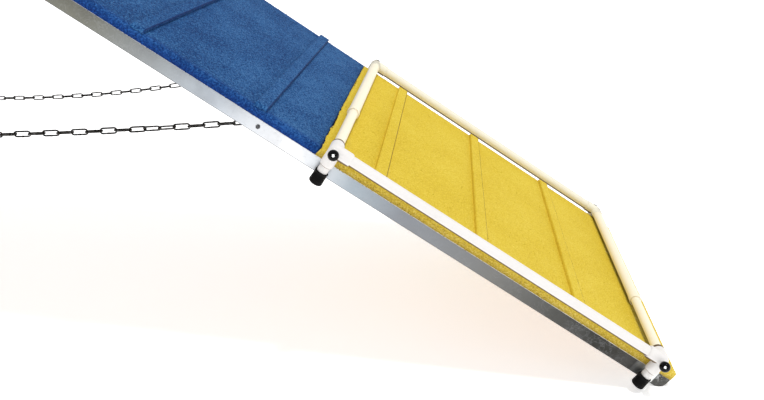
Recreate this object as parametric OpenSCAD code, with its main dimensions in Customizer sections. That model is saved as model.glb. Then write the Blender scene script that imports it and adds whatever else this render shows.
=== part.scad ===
// Dog agility A-frame: two coated ramps hinged at the ridge, held by two chains,
// with a lift-off box of white pipe over the contact zone of one ramp.
// The ridge lies along Y over the origin, the floor is Z = 0, the near side is -Y.

/* [Ramps] */
// Length of each ramp along its slope
ramp_length = 2748; // [2400:1:3000]
// Width of each ramp over its coated edges
ramp_width = 914; // [800:1:1000]
// Slope of each ramp above the floor, in degrees
ramp_slope = 33; // [28:0.5:40]
// Open joint between the two ramps at the ridge
ridge_gap = 4; // [2:0.5:10]

/* [Deck] */
// Thickness of the deck board
board_t = 18; // [12:0.5:25]
// Thickness of the rubber coat on top of the board
coat_t = 5; // [2:0.5:8]
// Thickness of the rubber coat round the board's edges
edge_coat_t = 4; // [2:0.5:8]
// Length of the yellow contact zone from the low end
zone_length = 1072; // [900:1:1150]
// Corner radius of the deck at its low end
corner_r = 6; // [5:1:30]

/* [Slats] */
// Width of a slat
slat_w = 34; // [20:1:45]
// Height of a slat
slat_h = 10; // [5:0.5:15]
// Bevel along a slat's top edges
slat_bevel = 4; // [1:0.5:5]
// Lower edge of the first yellow slat above the low end
yellow_slat_first = 290; // [200:1:320]
// Spacing of the yellow slats
yellow_slat_pitch = 303; // [250:1:310]
// Number of yellow slats
yellow_slat_count = 3; // [1:1:3]
// Lower edge of the first blue slat above the low end
blue_slat_first = 1222; // [1180:1:1300]
// Spacing of the blue slats
blue_slat_pitch = 326; // [240:1:330]
// Number of blue slats on each ramp
blue_slat_count = 5; // [1:1:5]

/* [Rails] */
// Height of the side rails
rail_h = 38; // [34:1:50]
// Width of the side rails
rail_w = 38; // [30:1:50]
// Wall of the rail tube
rail_wall = 3; // [2:0.5:4]
// How far the rails sit in from the coated edge
rail_inset = 3; // [0:0.5:8]
// Width of a cross member along the ramp
cross_w = 40; // [25:1:60]
// Height of a cross member
cross_h = 13; // [10:1:16]
// Wall of the cross member tube
cross_wall = 2; // [1.5:0.5:3]
// Number of cross members under each ramp
cross_count = 5; // [3:1:6]
// First cross member from the ridge
cross_first = 220; // [200:1:300]
// Last cross member above the low end
cross_last = 110; // [90:1:160]

/* [Feet] */
// Length of the rounded foot in the end of each rail
foot_len = 36; // [32:1:60]
// Radius of the foot's lower corner
foot_r = 24; // [15:1:32]
// How far the foot sits up from the deck's low end
foot_setback = 1; // [0:0.5:10]
// Length of the foot's shank inside the rail
foot_shank = 32; // [20:1:60]
// Depth of the flat sole below the round corner
sole_cut = 1; // [0.5:0.1:2]

/* [Ridge hinge] */
// Clearance from the rails' underside to the hinge axis
fold_clear = 19; // [17:0.5:30]
// Thickness of a hinge plate
plate_t = 6; // [4:0.5:10]
// Length of a hinge plate along the rail
plate_len = 130; // [110:1:180]
// Radius of the hinge plate's ear
ear_r = 16; // [12:0.5:16]
// Diameter of the hinge rod
rod_d = 12.7; // [10:0.1:16]
// Length of the rod past the outer hinge plates
rod_tail = 16; // [12:1:25]
// Diameter of the hinge plate bolts
plate_bolt_d = 8; // [6:0.5:10]
// Spacing of the two bolts in a hinge plate
plate_bolt_pitch = 60; // [50:1:80]

/* [Chains] */
// Wire of a chain link
chain_wire = 4.4; // [3:0.1:5]
// Inside length of a chain link
link_in = 38; // [30:0.5:40]
// Outside width of a chain link
link_w = 17.5; // [16.5:0.5:19]
// Chain bolt above the low end
chain_height = 1222; // [1100:1:1300]
// Diameter of the chain bolts
chain_bolt_d = 6; // [5:0.5:7]
// Chain centre line from the rail's inner face
chain_off = 11; // [10.5:0.5:16]
// Sag of the near chain at mid span
near_sag = 66; // [30:1:120]
// Turn of the near chain over each of its twisted stretches, in degrees
near_twist = 90; // [0:5:90]
// Sag of the far chain at mid span
far_sag = 177; // [60:1:220]

/* [Pipe box] */
// Outside diameter of the pipe in the near half
pipe_d = 26.7; // [24:0.1:30]
// Wall of the pipe in the near half
pipe_wall = 2.9; // [2:0.1:3.5]
// Outside diameter of the wide pipe in the far half
wide_d = 32; // [31:0.1:36]
// Wall of a near fitting round its pipe
hub_wall = 3.7; // [2.5:0.1:5]
// Wall of a far fitting round the wide pipe
wide_hub_wall = 2.2; // [1.5:0.1:4]
// Reach of a fitting from its centre
hub_reach = 44; // [40:1:60]
// Depth of pipe inside a fitting
socket_depth = 25; // [15:1:25]
// Upper bar of the box above the ramp's low end
box_top = 1040; // [1000:1:1045]
// Lower bar of the box above the ramp's low end
box_low = 73; // [66:1:110]
// Clearance from the fittings to the deck's edge
box_side_clear = 0.5; // [0.3:0.1:6]
// Mouth of the upper bar's wide pipe from the deck's near edge
top_mouth_in = 308; // [200:1:450]
// Mouth of the lower bar's wide pipe from the deck's near edge
low_mouth_in = 278; // [200:1:450]
// Length of a near bar pipe inside the wide pipe
slide_len = 150; // [100:1:200]
// Length of the coupling on a wide pipe's mouth
coupling_len = 14; // [10:1:40]
// Length of a leg from the centre of its fitting
leg_len = 90; // [82:1:90]
// Height of a leg cap
cap_h = 35; // [20:1:36]
// Rubber below the end of the leg
cap_floor = 5; // [3:0.5:6]
// Rubber round the leg
cap_wall = 2.8; // [2:0.1:3]

/* [Knobs] */
// Diameter of a ball knob
knob_d = 27; // [20:0.5:30]
// Diameter of the knob's collar
collar_d = 14; // [12:0.5:16]
// Length of the knob's collar
collar_h = 2; // [1:0.5:6]
// Diameter of the knob's stud
stud_d = 8; // [6:0.5:10]
// Length of the threaded plug in the end of a bar
plug_len = 26; // [20:1:40]

/* [Hidden] */
$fn = 48;

// Running and seating clearances
overrun = 1;
running_fit = 0.08;
bolt_fit = 0.25;
pipe_fit = 0.1;
foot_fit = 0.2;
seat_gap = 0.3;
plate_gap = 0.5;

// Deck and rail levels, square to the slope, with the deck's top at zero
half_width = ramp_width / 2;
deck_t = coat_t + board_t;
board_half = half_width - edge_coat_t;
board_end = ramp_length - edge_coat_t;
board_corner_r = max(corner_r - edge_coat_t, overrun);
zone_start = ramp_length - zone_length;
rail_top = -deck_t;
rail_low = rail_top - rail_h;
rail_mid = rail_top - rail_h / 2;
rail_out = half_width - rail_inset;
rail_in = rail_out - rail_w;

// Foot, and the height of the ridge that puts its sole on the floor
foot_end = ramp_length - foot_setback;
rail_end = foot_end - foot_len;
foot_centre_x = foot_end - foot_r;
foot_centre_z = rail_low + foot_r;
ridge_z = foot_r - sole_cut + foot_centre_x * sin(ramp_slope) - foot_centre_z * cos(ramp_slope);
floor_reach = foot_r;

// Deck screws: one row along each rail
screw_d = 5;
screw_head_d = 10;
screw_head_h = 3;
screw_tail = 6;
screw_count = 6;
screw_margin = 160;
screw_pitch = (board_end - 2 * screw_margin) / (screw_count - 1);
screw_y = (rail_in + rail_out) / 2;

// Cross members
cross_pitch = (ramp_length - cross_first - cross_last) / (cross_count - 1);

// Ridge hinge
axis_depth = fold_clear - rail_low;
axis_x = axis_depth * tan(ramp_slope);
rod_half = rail_in + rod_tail;
plate_bolt_first = axis_x + (plate_len - plate_bolt_pitch) / 2;
rod_washer_d = 22;
rod_washer_t = 2;
rod_pin_d = 3;
rod_pin_len = 26;
rod_pin_y = rail_in + seat_gap + rod_washer_t + rod_pin_d;

// Hexagon bolts and nuts, as shares of the thread's diameter
hex_across_share = 1.6;
hex_height_share = 0.65;
nut_height_share = 0.8;
washer_across_share = 2.1;
washer_t = 1.6;
bolt_tail = 4;

// Chains, in the upright plane through their bolts
chain_y = rail_in - chain_off;
chain_bolt_x = ramp_length - chain_height;
anchor_x = chain_bolt_x * cos(ramp_slope) + rail_mid * sin(ramp_slope);
anchor_z = ridge_z - chain_bolt_x * sin(ramp_slope) + rail_mid * cos(ramp_slope);
link_bend = (link_w - chain_wire) / 2;
link_straight = link_in + chain_wire - 2 * link_bend;
link_lead = link_in / 2 - chain_bolt_d / 2 - seat_gap;
link_pitch_most = link_in - seat_gap;

// Twisted stretches of a chain, as counts of links from its nearer bolt
bolt_twist_end = 3;
slack_twist_start = 5;
slack_twist_end = 11;

// Pipe box, on the slope of the right ramp
pipe_in = pipe_d - 2 * pipe_wall;
hub_d = pipe_d + 2 * hub_wall;
wide_in = pipe_d + 2 * pipe_fit;
wide_hub_d = wide_d + 2 * wide_hub_wall;
box_y = half_width + box_side_clear + hub_d / 2;
far_box_y = half_width + box_side_clear + wide_hub_d / 2;
box_z = max(hub_d, wide_hub_d) / 2 + seat_gap;
box_top_x = ramp_length - box_top;
box_low_x = ramp_length - box_low;
pipe_start = hub_reach - socket_depth;
top_mouth_y = top_mouth_in - half_width;
low_mouth_y = low_mouth_in - half_width;
coupling_wall = 1.2;
coupling_lip = 3;
boss_d = 18;
boss_h = 1;
cap_edge_r = 5;
cap_d = pipe_d + 2 * cap_wall;
cap_flare = hub_d / 2 + box_side_clear - seat_gap - cap_d / 2;
plug_fit = 0.05;

// Places a shape that is drawn along a level ramp: X down the slope from the ridge, Z out of the deck
module on_right() {
  translate([0, 0, ridge_z]) rotate([0, ramp_slope, 0]) children();
}

module on_left() {
  mirror([1, 0, 0]) on_right() children();
}

module both_sides() {
  children();
  mirror([0, 1, 0]) children();
}

// A block between two corners
module block(low, high) {
  translate(low) cube(high - low);
}

// A round bar along Y from one place to another
module bar_y(d, from, to) {
  translate([0, from, 0]) rotate([-90, 0, 0]) cylinder(d = d, h = to - from);
}

// Everything past the upright plane at the ridge
module past_ridge() {
  rotate([0, -ramp_slope, 0])
    block([-ramp_width, -ramp_width, -ramp_width], [ridge_gap / 2, ramp_width, ramp_width]);
}

// Everything under the floor near the low end
module under_floor() {
  rotate([0, -ramp_slope, 0])
    block([0, -ramp_width, -ridge_z - floor_reach], [ramp_length, ramp_width, -ridge_z]);
}

// Deck board with its screw holes
module board() {
  difference() {
    slab(rail_top, -coat_t) deck_outline(0, board_end, board_half, board_corner_r);
    past_ridge();
    at_screws() screw(bolt_fit);
  }
}

// Rubber coat over the board between two places down the slope, skirted along its edges
module coat(from, to, end_skirt) {
  difference() {
    slab(rail_top, 0) deck_outline(from, to, half_width, end_skirt ? corner_r : 0);
    slab(rail_top - overrun, -coat_t)
      if (end_skirt) deck_outline(from - overrun, board_end, board_half, board_corner_r);
      else deck_outline(from - overrun, to + overrun, board_half, 0);
    past_ridge();
  }
}

// A flat slab between two levels
module slab(low, high) {
  translate([0, 0, low]) linear_extrude(high - low) children();
}

// Plan of the deck between two places down the slope, with round corners at the low end
module deck_outline(from, to, half, r) {
  translate([from, -half]) square([to - r - from, 2 * half]);
  if (r > 0) {
    translate([from, r - half]) square([to - from, 2 * (half - r)]);
    for (y = [r - half, half - r]) translate([to - r, y]) circle(r);
  }
}

// Slats across the deck, counted up the slope from the low end
module slats(first, pitch, count) {
  for (i = [0 : count - 1])
    translate([ramp_length - first - i * pitch - slat_w, half_width, 0])
      rotate([90, 0, 0]) linear_extrude(ramp_width) polygon([
        [0, 0], [slat_w, 0], [slat_w, slat_h - slat_bevel], [slat_w - slat_bevel, slat_h],
        [slat_bevel, slat_h], [0, slat_h - slat_bevel]
      ]);
}

// Countersunk deck screws down through the board into the rails
module at_screws() {
  for (i = [0 : screw_count - 1])
    both_sides() translate([screw_margin + i * screw_pitch, screw_y, -coat_t]) children();
}

module screw(room) {
  shank_len = board_t + rail_wall + screw_tail;
  translate([0, 0, -shank_len]) cylinder(d = screw_d + 2 * room, h = shank_len);
  translate([0, 0, -screw_head_h])
    cylinder(d1 = screw_d + 2 * room, d2 = screw_head_d + 2 * room, h = screw_head_h);
}

// Rail tube on the far side, with the holes for its bolts and screws
module rail() {
  difference() {
    block([0, rail_in, rail_low], [rail_end, rail_out, rail_top]);
    block([-overrun, rail_in + rail_wall, rail_low + rail_wall],
          [rail_end + overrun, rail_out - rail_wall, rail_top - rail_wall]);
    past_ridge();
    at_chain_bolt() bar_y(chain_bolt_d + 2 * bolt_fit, rail_in - overrun, rail_out + overrun);
    at_plate_bolts() bar_y(plate_bolt_d + 2 * bolt_fit, rail_in - overrun, rail_out + overrun);
    at_screws() screw(bolt_fit);
  }
}

module cross_members() {
  for (i = [0 : cross_count - 1])
    translate([cross_first + i * cross_pitch - cross_w / 2, 0, rail_top - cross_h]) difference() {
      block([0, -rail_in, 0], [cross_w, rail_in, cross_h]);
      block([cross_wall, -rail_in - overrun, cross_wall],
            [cross_w - cross_wall, rail_in + overrun, cross_h - cross_wall]);
    }
}

// Rounded foot in the low end of the far rail, flat where it stands
module foot() {
  inset = rail_wall + foot_fit;
  block([rail_end - foot_shank, rail_in + inset, rail_low + inset],
        [rail_end + overrun, rail_out - inset, rail_top - inset]);
  difference() {
    translate([0, rail_out, 0]) rotate([90, 0, 0]) linear_extrude(rail_w) {
      translate([rail_end, rail_low]) square([foot_len - foot_r, rail_h]);
      translate([rail_end, rail_low + foot_r]) square([foot_len, rail_h - foot_r]);
      intersection() {
        translate([foot_centre_x, foot_centre_z]) circle(foot_r);
        translate([rail_end, rail_low]) square([foot_len, rail_h]);
      }
    }
    under_floor();
  }
}

// Hinge plate outline: a flat along the rail and an ear round the hinge axis
module plate_flat() {
  translate([axis_x, rail_low]) square([plate_len, rail_h]);
}

module plate_ear() {
  translate([axis_x, -axis_depth]) circle(ear_r);
  polygon([
    [axis_x - ear_r, -axis_depth], [axis_x + ear_r, -axis_depth],
    [axis_x + 2 * ear_r, rail_low], [axis_x + 2 * ear_r, rail_low + overrun],
    [axis_x, rail_low + overrun], [axis_x, rail_low]
  ]);
}

// Hinge plates inside the rails, packed out from the rail by a spacer as deep as asked
module hinge_plates(spacer) {
  both_sides() difference() {
    union() {
      translate([0, rail_in - spacer, 0]) rotate([90, 0, 0]) linear_extrude(plate_t) {
        plate_flat();
        plate_ear();
      }
      if (spacer > 0)
        translate([0, rail_in, 0]) rotate([90, 0, 0]) linear_extrude(spacer + overrun) plate_flat();
    }
    at_hinge_axis() bar_y(rod_d + 2 * running_fit, 0, rail_out);
    at_plate_bolts() bar_y(plate_bolt_d + 2 * bolt_fit, 0, rail_out);
  }
}

module at_hinge_axis() {
  translate([axis_x, 0, -axis_depth]) children();
}

module at_plate_bolts() {
  for (i = [0, 1])
    translate([plate_bolt_first + i * plate_bolt_pitch, 0, rail_mid]) children();
}

module at_chain_bolt() {
  translate([chain_bolt_x, 0, rail_mid]) children();
}

// Hexagon along Y, measured across its flats
module hex_y(across, from, to) {
  translate([0, from, 0]) rotate([-90, 0, 0])
    cylinder(d = across / cos(30), h = to - from, $fn = 6);
}

// Hexagon head bolt from the rail's outer face inwards to a depth
module hex_bolt(d, inner) {
  bar_y(d, inner, rail_out + overrun);
  hex_y(d * hex_across_share, rail_out, rail_out + d * hex_height_share);
}

// Nut and washer on a bolt, the washer's outer face at the place given
module nut_and_washer(d, face) {
  difference() {
    bar_y(d * washer_across_share, face - washer_t, face);
    bar_y(d + 2 * bolt_fit, face - washer_t - overrun, face + overrun);
  }
  difference() {
    hex_y(d * hex_across_share, face - washer_t - d * nut_height_share, face - washer_t);
    bar_y(d + 2 * running_fit, face - washer_t - d * nut_height_share - overrun, face);
  }
}

// Stack of washer, nut and spare thread that stands past a face
function nut_stack(d) = washer_t + d * nut_height_share + bolt_tail;

module hinge_bolts(spacer) {
  both_sides() at_plate_bolts()
    hex_bolt(plate_bolt_d, rail_in - plate_t - spacer - nut_stack(plate_bolt_d));
}

module hinge_nuts(spacer) {
  both_sides() at_plate_bolts() nut_and_washer(plate_bolt_d, rail_in - plate_t - spacer);
}

// The end link of the chain hangs on the bolt between two washers
chain_inner_face = chain_y - chain_wire / 2 - seat_gap;

module chain_bolts() {
  both_sides() at_chain_bolt() hex_bolt(chain_bolt_d, chain_inner_face - nut_stack(chain_bolt_d));
}

module chain_nuts() {
  both_sides() at_chain_bolt() {
    nut_and_washer(chain_bolt_d, chain_inner_face);
    difference() {
      bar_y(chain_bolt_d * hex_across_share, chain_y + chain_wire / 2 + seat_gap, rail_in);
      bar_y(chain_bolt_d + 2 * bolt_fit, chain_y, rail_in + overrun);
    }
  }
}

// The spacer that brings the left hinge plates inside the right ones
left_spacer = plate_t + plate_gap;

module rod() {
  translate([0, 0, ridge_z]) rotate([0, ramp_slope, 0]) at_hinge_axis() difference() {
    bar_y(rod_d, -rod_half, rod_half);
    both_sides() translate([0, rod_pin_y, 0])
      cylinder(d = rod_pin_d + 2 * running_fit, h = rod_d + 2 * overrun, center = true);
  }
}

module washers_on_rod() {
  on_right() at_hinge_axis() both_sides() difference() {
    bar_y(rod_washer_d, rail_in + seat_gap, rail_in + seat_gap + rod_washer_t);
    bar_y(rod_d + 2 * bolt_fit, rail_in, rail_out);
  }
}

module pins_in_rod() {
  on_right() at_hinge_axis() both_sides() translate([0, rod_pin_y, 0])
    cylinder(d = rod_pin_d, h = rod_pin_len, center = true);
}

// One chain link, long along X, flat in the upright plane
module link() {
  for (side = [0, 1]) mirror([side, 0, 0]) translate([link_straight / 2, 0, 0])
    rotate([90, 0, 0]) rotate([0, 0, -90]) rotate_extrude(angle = 180)
      translate([link_bend, 0]) circle(d = chain_wire);
  for (z = [-link_bend, link_bend])
    translate([0, 0, z]) rotate([0, 90, 0]) cylinder(d = chain_wire, h = link_straight, center = true);
}

// A hanging chain follows a flat arc between its bolts
function arc_radius(sag) = (anchor_x * anchor_x + sag * sag) / (2 * sag);
function arc_half(sag) = asin(anchor_x / arc_radius(sag));
function arc_length(sag) = 2 * arc_half(sag) * PI / 180 * arc_radius(sag);
function link_steps(sag) = 2 * ceil((arc_length(sag) - 2 * link_lead) / (2 * link_pitch_most));
function link_turn(sag) =
  2 * arc_half(sag) * (1 - 2 * link_lead / arc_length(sag)) / link_steps(sag);
function link_angle(sag, k) =
  arc_half(sag) * (1 - 2 * link_lead / arc_length(sag)) - k * link_turn(sag);

// The link at the end of each quarter of the chain stands upright, but for its twist
function quarter_end(sag, quarter) = 2 * round(link_steps(sag) * quarter / 8);

// The turn of a link about the chain's run, which grows from nothing at the bolts in two stretches
function link_twist(sag, twist, k) = let (count = min(k, link_steps(sag) - k))
  twist * (stretch(count, 0, bolt_twist_end) + stretch(count, slack_twist_start, slack_twist_end));
function stretch(count, from, to) = min(max((count - from) / (to - from), 0), 1);

// Links of one quarter of a chain, counted from the right ramp's bolt
module chain_quarter(sag, y, quarter, twist = 0) {
  radius = arc_radius(sag);
  first = quarter == 1 ? 0 : quarter_end(sag, quarter - 1) + 1;
  for (k = [first : quarter_end(sag, quarter)])
    translate([0, y, anchor_z - sag + radius]) rotate([0, -link_angle(sag, k), 0])
      translate([0, 0, -radius]) rotate([90 * (k % 2) + link_twist(sag, twist, k), 0, 0]) link();
}

// Pipe along X or Y or down, from one distance to another
module pipe(from, to, outside = pipe_d, inside = pipe_in) {
  difference() {
    translate([0, 0, from]) cylinder(d = outside, h = to - from);
    translate([0, 0, from - overrun]) cylinder(d = inside, h = to - from + 2 * overrun);
  }
}

module along_x() { rotate([0, 90, 0]) children(); }
module along_y() { rotate([-90, 0, 0]) children(); }

// The four corners of the box, with the way to the middle of the box as signs
module at_corner(top, far) {
  on_right() translate([top ? box_top_x : box_low_x, far ? far_box_y : -box_y, box_z])
    mirror([top ? 0 : 1, 0, 0]) mirror([0, far ? 1 : 0, 0]) children();
}

module all_corners() {
  for (top = [true, false]) for (far = [true, false]) at_corner(top, far) children();
}

// Three-way corner: sockets down the slope, in over the deck, and down to the leg
module corner(d, hub) {
  difference() {
    union() {
      sphere(d = hub);
      three_ways() cylinder(d = hub, h = hub_reach);
      along_y() translate([0, 0, -hub / 2 - boss_h]) cylinder(d = boss_d, h = hub / 2);
    }
    sphere(d = pipe_in);
    three_ways() cylinder(d = pipe_in, h = hub_reach);
    along_x() socket(d);
    along_y() socket(d);
    rotate([180, 0, 0]) socket(pipe_d);
    bar_y(stud_d + 2 * running_fit, -hub, 0);
  }
}

module socket(d) {
  translate([0, 0, pipe_start]) cylinder(d = d + 2 * pipe_fit, h = socket_depth + overrun);
}

module three_ways() {
  along_x() children();
  along_y() children();
  rotate([180, 0, 0]) children();
}

module side_pipe(y, outside, inside) {
  on_right() translate([0, y, box_z]) along_x()
    pipe(box_top_x + pipe_start, box_low_x - pipe_start, outside, inside);
}

// The two lengths of pipe in a bar across the deck: the near one slides into the mouth of the wide one
module bar_pipes(x, mouth) {
  on_right() translate([x, 0, box_z]) along_y() {
    pipe(-box_y + pipe_start, mouth + slide_len);
    pipe(mouth, far_box_y - pipe_start, wide_d, wide_in);
  }
}

// Lipped coupling over the mouth of a bar's wide pipe
module coupling(x, mouth) {
  on_right() translate([x, mouth, box_z]) along_y() difference() {
    translate([0, 0, -coupling_lip])
      cylinder(d = wide_d + 2 * coupling_wall, h = coupling_lip + coupling_len);
    cylinder(d = wide_d + 2 * pipe_fit, h = coupling_len + overrun);
    translate([0, 0, -coupling_lip - overrun]) cylinder(d = wide_in, h = coupling_lip + 2 * overrun);
  }
}

module couplings() {
  coupling(box_top_x, top_mouth_y);
  coupling(box_low_x, low_mouth_y);
}

// Threaded plug in the end of a bar, which the knob's stud draws up
module plug(inside) {
  along_y() translate([0, 0, pipe_start]) difference() {
    cylinder(d = inside - 2 * plug_fit, h = plug_len);
    translate([0, 0, -overrun]) cylinder(d = stud_d + 2 * running_fit, h = plug_len + 2 * overrun);
  }
}

module plugs() {
  for (top = [true, false]) {
    at_corner(top, false) plug(pipe_in);
    at_corner(top, true) plug(wide_in);
  }
}

module leg() {
  rotate([180, 0, 0]) pipe(pipe_start, leg_len);
}

// Rubber cap on a leg, flared a little and round at its lower edge
module cap() {
  low = leg_len + seat_gap + cap_floor;
  rotate([180, 0, 0]) difference() {
    rotate_extrude() {
      polygon([
        [0, low - cap_h], [cap_d / 2, low - cap_h],
        [cap_d / 2 + cap_flare, low - cap_edge_r], [0, low - cap_edge_r]
      ]);
      translate([0, low - 2 * cap_edge_r]) square([cap_d / 2 + cap_flare - cap_edge_r, 2 * cap_edge_r]);
      translate([cap_d / 2 + cap_flare - cap_edge_r, low - cap_edge_r]) circle(cap_edge_r);
    }
    translate([0, 0, low - cap_h - overrun])
      cylinder(d = pipe_d + 2 * pipe_fit, h = cap_h - cap_floor + overrun);
  }
}

// Ball knob on its collar, with a stud that reaches into the bar's plug
module knob(hub) {
  seat_y = -hub / 2 - boss_h - seat_gap;
  ball_y = seat_y - collar_h - sqrt(knob_d * knob_d - collar_d * collar_d) / 2;
  translate([0, ball_y, 0]) sphere(d = knob_d);
  bar_y(collar_d, ball_y, seat_y);
  bar_y(stud_d, seat_y - collar_h / 2, pipe_start + plug_len);
}

// Right ramp
module right_deck_board() { color("burlywood") on_right() board(); }
module right_blue_coat() { color("royalblue") on_right() coat(0, zone_start, false); }
module right_yellow_coat() { color("gold") on_right() coat(zone_start, ramp_length, true); }
module right_blue_slats() {
  color("royalblue") on_right() slats(blue_slat_first, blue_slat_pitch, blue_slat_count);
}
module right_yellow_slats() {
  color("gold") on_right() slats(yellow_slat_first, yellow_slat_pitch, yellow_slat_count);
}
module right_near_rail() { color("silver") on_right() mirror([0, 1, 0]) rail(); }
module right_far_rail() { color("silver") on_right() rail(); }
module right_cross_members() { color("silver") on_right() cross_members(); }
module right_near_foot() { color("dimgray") on_right() mirror([0, 1, 0]) foot(); }
module right_far_foot() { color("dimgray") on_right() foot(); }
module right_hinge_plates() { color("gray") on_right() hinge_plates(0); }
module right_hinge_bolts() { color("lightgray") on_right() hinge_bolts(0); }
module right_hinge_nuts() { color("lightgray") on_right() hinge_nuts(0); }
module right_chain_bolts() { color("lightgray") on_right() chain_bolts(); }
module right_chain_nuts() { color("lightgray") on_right() chain_nuts(); }
module right_deck_screws() { color("lightgray") on_right() at_screws() screw(0); }

// Ridge hinge
module hinge_rod() { color("lightgray") rod(); }
module rod_washers() { color("lightgray") washers_on_rod(); }
module rod_pins() { color("lightgray") pins_in_rod(); }

// Left ramp
module left_deck_board() { color("burlywood") on_left() board(); }
module left_blue_coat() { color("royalblue") on_left() coat(0, zone_start, false); }
module left_yellow_coat() { color("gold") on_left() coat(zone_start, ramp_length, true); }
module left_blue_slats() {
  color("royalblue") on_left() slats(blue_slat_first, blue_slat_pitch, blue_slat_count);
}
module left_yellow_slats() {
  color("gold") on_left() slats(yellow_slat_first, yellow_slat_pitch, yellow_slat_count);
}
module left_near_rail() { color("silver") on_left() mirror([0, 1, 0]) rail(); }
module left_far_rail() { color("silver") on_left() rail(); }
module left_cross_members() { color("silver") on_left() cross_members(); }
module left_near_foot() { color("dimgray") on_left() mirror([0, 1, 0]) foot(); }
module left_far_foot() { color("dimgray") on_left() foot(); }
module left_hinge_plates() { color("gray") on_left() hinge_plates(left_spacer); }
module left_hinge_bolts() { color("lightgray") on_left() hinge_bolts(left_spacer); }
module left_hinge_nuts() { color("lightgray") on_left() hinge_nuts(left_spacer); }
module left_chain_bolts() { color("lightgray") on_left() chain_bolts(); }
module left_chain_nuts() { color("lightgray") on_left() chain_nuts(); }
module left_deck_screws() { color("lightgray") on_left() at_screws() screw(0); }

// Chains
module near_chain_right_end() { color("dimgray") chain_quarter(near_sag, -chain_y, 1, near_twist); }
module near_chain_right_middle() { color("dimgray") chain_quarter(near_sag, -chain_y, 2, near_twist); }
module near_chain_left_middle() { color("dimgray") chain_quarter(near_sag, -chain_y, 3, near_twist); }
module near_chain_left_end() { color("dimgray") chain_quarter(near_sag, -chain_y, 4, near_twist); }
module far_chain_right_end() { color("dimgray") chain_quarter(far_sag, chain_y, 1); }
module far_chain_right_middle() { color("dimgray") chain_quarter(far_sag, chain_y, 2); }
module far_chain_left_middle() { color("dimgray") chain_quarter(far_sag, chain_y, 3); }
module far_chain_left_end() { color("dimgray") chain_quarter(far_sag, chain_y, 4); }

// Pipe box
module near_side_pipe() { color("ivory") side_pipe(-box_y, pipe_d, pipe_in); }
module far_side_pipe() { color("ivory") side_pipe(far_box_y, wide_d, wide_in); }
module top_bar_pipes() { color("ivory") bar_pipes(box_top_x, top_mouth_y); }
module low_bar_pipes() { color("ivory") bar_pipes(box_low_x, low_mouth_y); }
module bar_couplings() { color("white") couplings(); }
module bar_plugs() { color("dimgray") plugs(); }
module top_near_corner() { color("white") at_corner(true, false) corner(pipe_d, hub_d); }
module top_far_corner() { color("white") at_corner(true, true) corner(wide_d, wide_hub_d); }
module low_near_corner() { color("white") at_corner(false, false) corner(pipe_d, hub_d); }
module low_far_corner() { color("white") at_corner(false, true) corner(wide_d, wide_hub_d); }
module box_legs() { color("ivory") all_corners() leg(); }
module leg_caps() { color("black") all_corners() cap(); }
module top_near_knob() { color("black") at_corner(true, false) knob(hub_d); }
module top_far_knob() { color("black") at_corner(true, true) knob(wide_hub_d); }
module low_near_knob() { color("black") at_corner(false, false) knob(hub_d); }
module low_far_knob() { color("black") at_corner(false, true) knob(wide_hub_d); }

right_deck_board();
right_blue_coat();
right_yellow_coat();
right_blue_slats();
right_yellow_slats();
right_near_rail();
right_far_rail();
right_cross_members();
right_near_foot();
right_far_foot();
right_hinge_plates();
right_hinge_bolts();
right_hinge_nuts();
right_chain_bolts();
right_chain_nuts();
right_deck_screws();
hinge_rod();
rod_washers();
rod_pins();
left_deck_board();
left_blue_coat();
left_yellow_coat();
left_blue_slats();
left_yellow_slats();
left_near_rail();
left_far_rail();
left_cross_members();
left_near_foot();
left_far_foot();
left_hinge_plates();
left_hinge_bolts();
left_hinge_nuts();
left_chain_bolts();
left_chain_nuts();
left_deck_screws();
near_chain_right_end();
near_chain_right_middle();
near_chain_left_middle();
near_chain_left_end();
far_chain_right_end();
far_chain_right_middle();
far_chain_left_middle();
far_chain_left_end();
near_side_pipe();
far_side_pipe();
top_bar_pipes();
low_bar_pipes();
bar_couplings();
bar_plugs();
top_near_corner();
top_far_corner();
low_near_corner();
low_far_corner();
box_legs();
leg_caps();
top_near_knob();
top_far_knob();
low_near_knob();
low_far_knob();
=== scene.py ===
"""Looks of a folding dog agility A-frame.

Two ramps coated with crumb rubber, their aluminium rails, the ridge hinge, two hanging chains and a
lift-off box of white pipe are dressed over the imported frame. Lengths are in metres, in the frame's axes.
"""

import logging
import math
from dataclasses import dataclass
from enum import Enum
from typing import Any, Iterable, Optional, Sequence

import bmesh
import bpy
from bpy.types import Collection, Material, Mesh, Node, NodeSocket, NodeTree, Object
from mathutils import Matrix, Vector, noise


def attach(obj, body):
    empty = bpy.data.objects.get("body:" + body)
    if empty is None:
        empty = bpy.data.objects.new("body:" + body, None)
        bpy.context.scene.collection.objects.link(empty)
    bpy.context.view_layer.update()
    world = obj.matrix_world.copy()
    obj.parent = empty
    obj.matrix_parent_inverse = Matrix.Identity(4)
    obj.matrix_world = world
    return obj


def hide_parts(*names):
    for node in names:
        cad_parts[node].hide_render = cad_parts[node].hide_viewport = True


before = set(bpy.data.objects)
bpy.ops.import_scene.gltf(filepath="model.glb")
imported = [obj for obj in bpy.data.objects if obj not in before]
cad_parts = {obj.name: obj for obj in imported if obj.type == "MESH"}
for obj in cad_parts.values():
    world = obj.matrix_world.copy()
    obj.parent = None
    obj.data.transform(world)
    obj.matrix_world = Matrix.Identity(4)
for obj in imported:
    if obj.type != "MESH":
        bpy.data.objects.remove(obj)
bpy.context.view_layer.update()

LOG = logging.getLogger("a_frame")
SHADES = ("Dark", "Middle", "Light")
MERGE_DISTANCE = 1e-6
QUARTER_TURN = math.pi / 2
SLOPE = math.radians(33)
DECK_NORMAL = (math.sin(SLOPE), 0.0, math.cos(SLOPE))
ALONG_X = Matrix.Rotation(QUARTER_TURN, 4, "Y")
ALONG_Y = Matrix.Rotation(-QUARTER_TURN, 4, "X")
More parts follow.
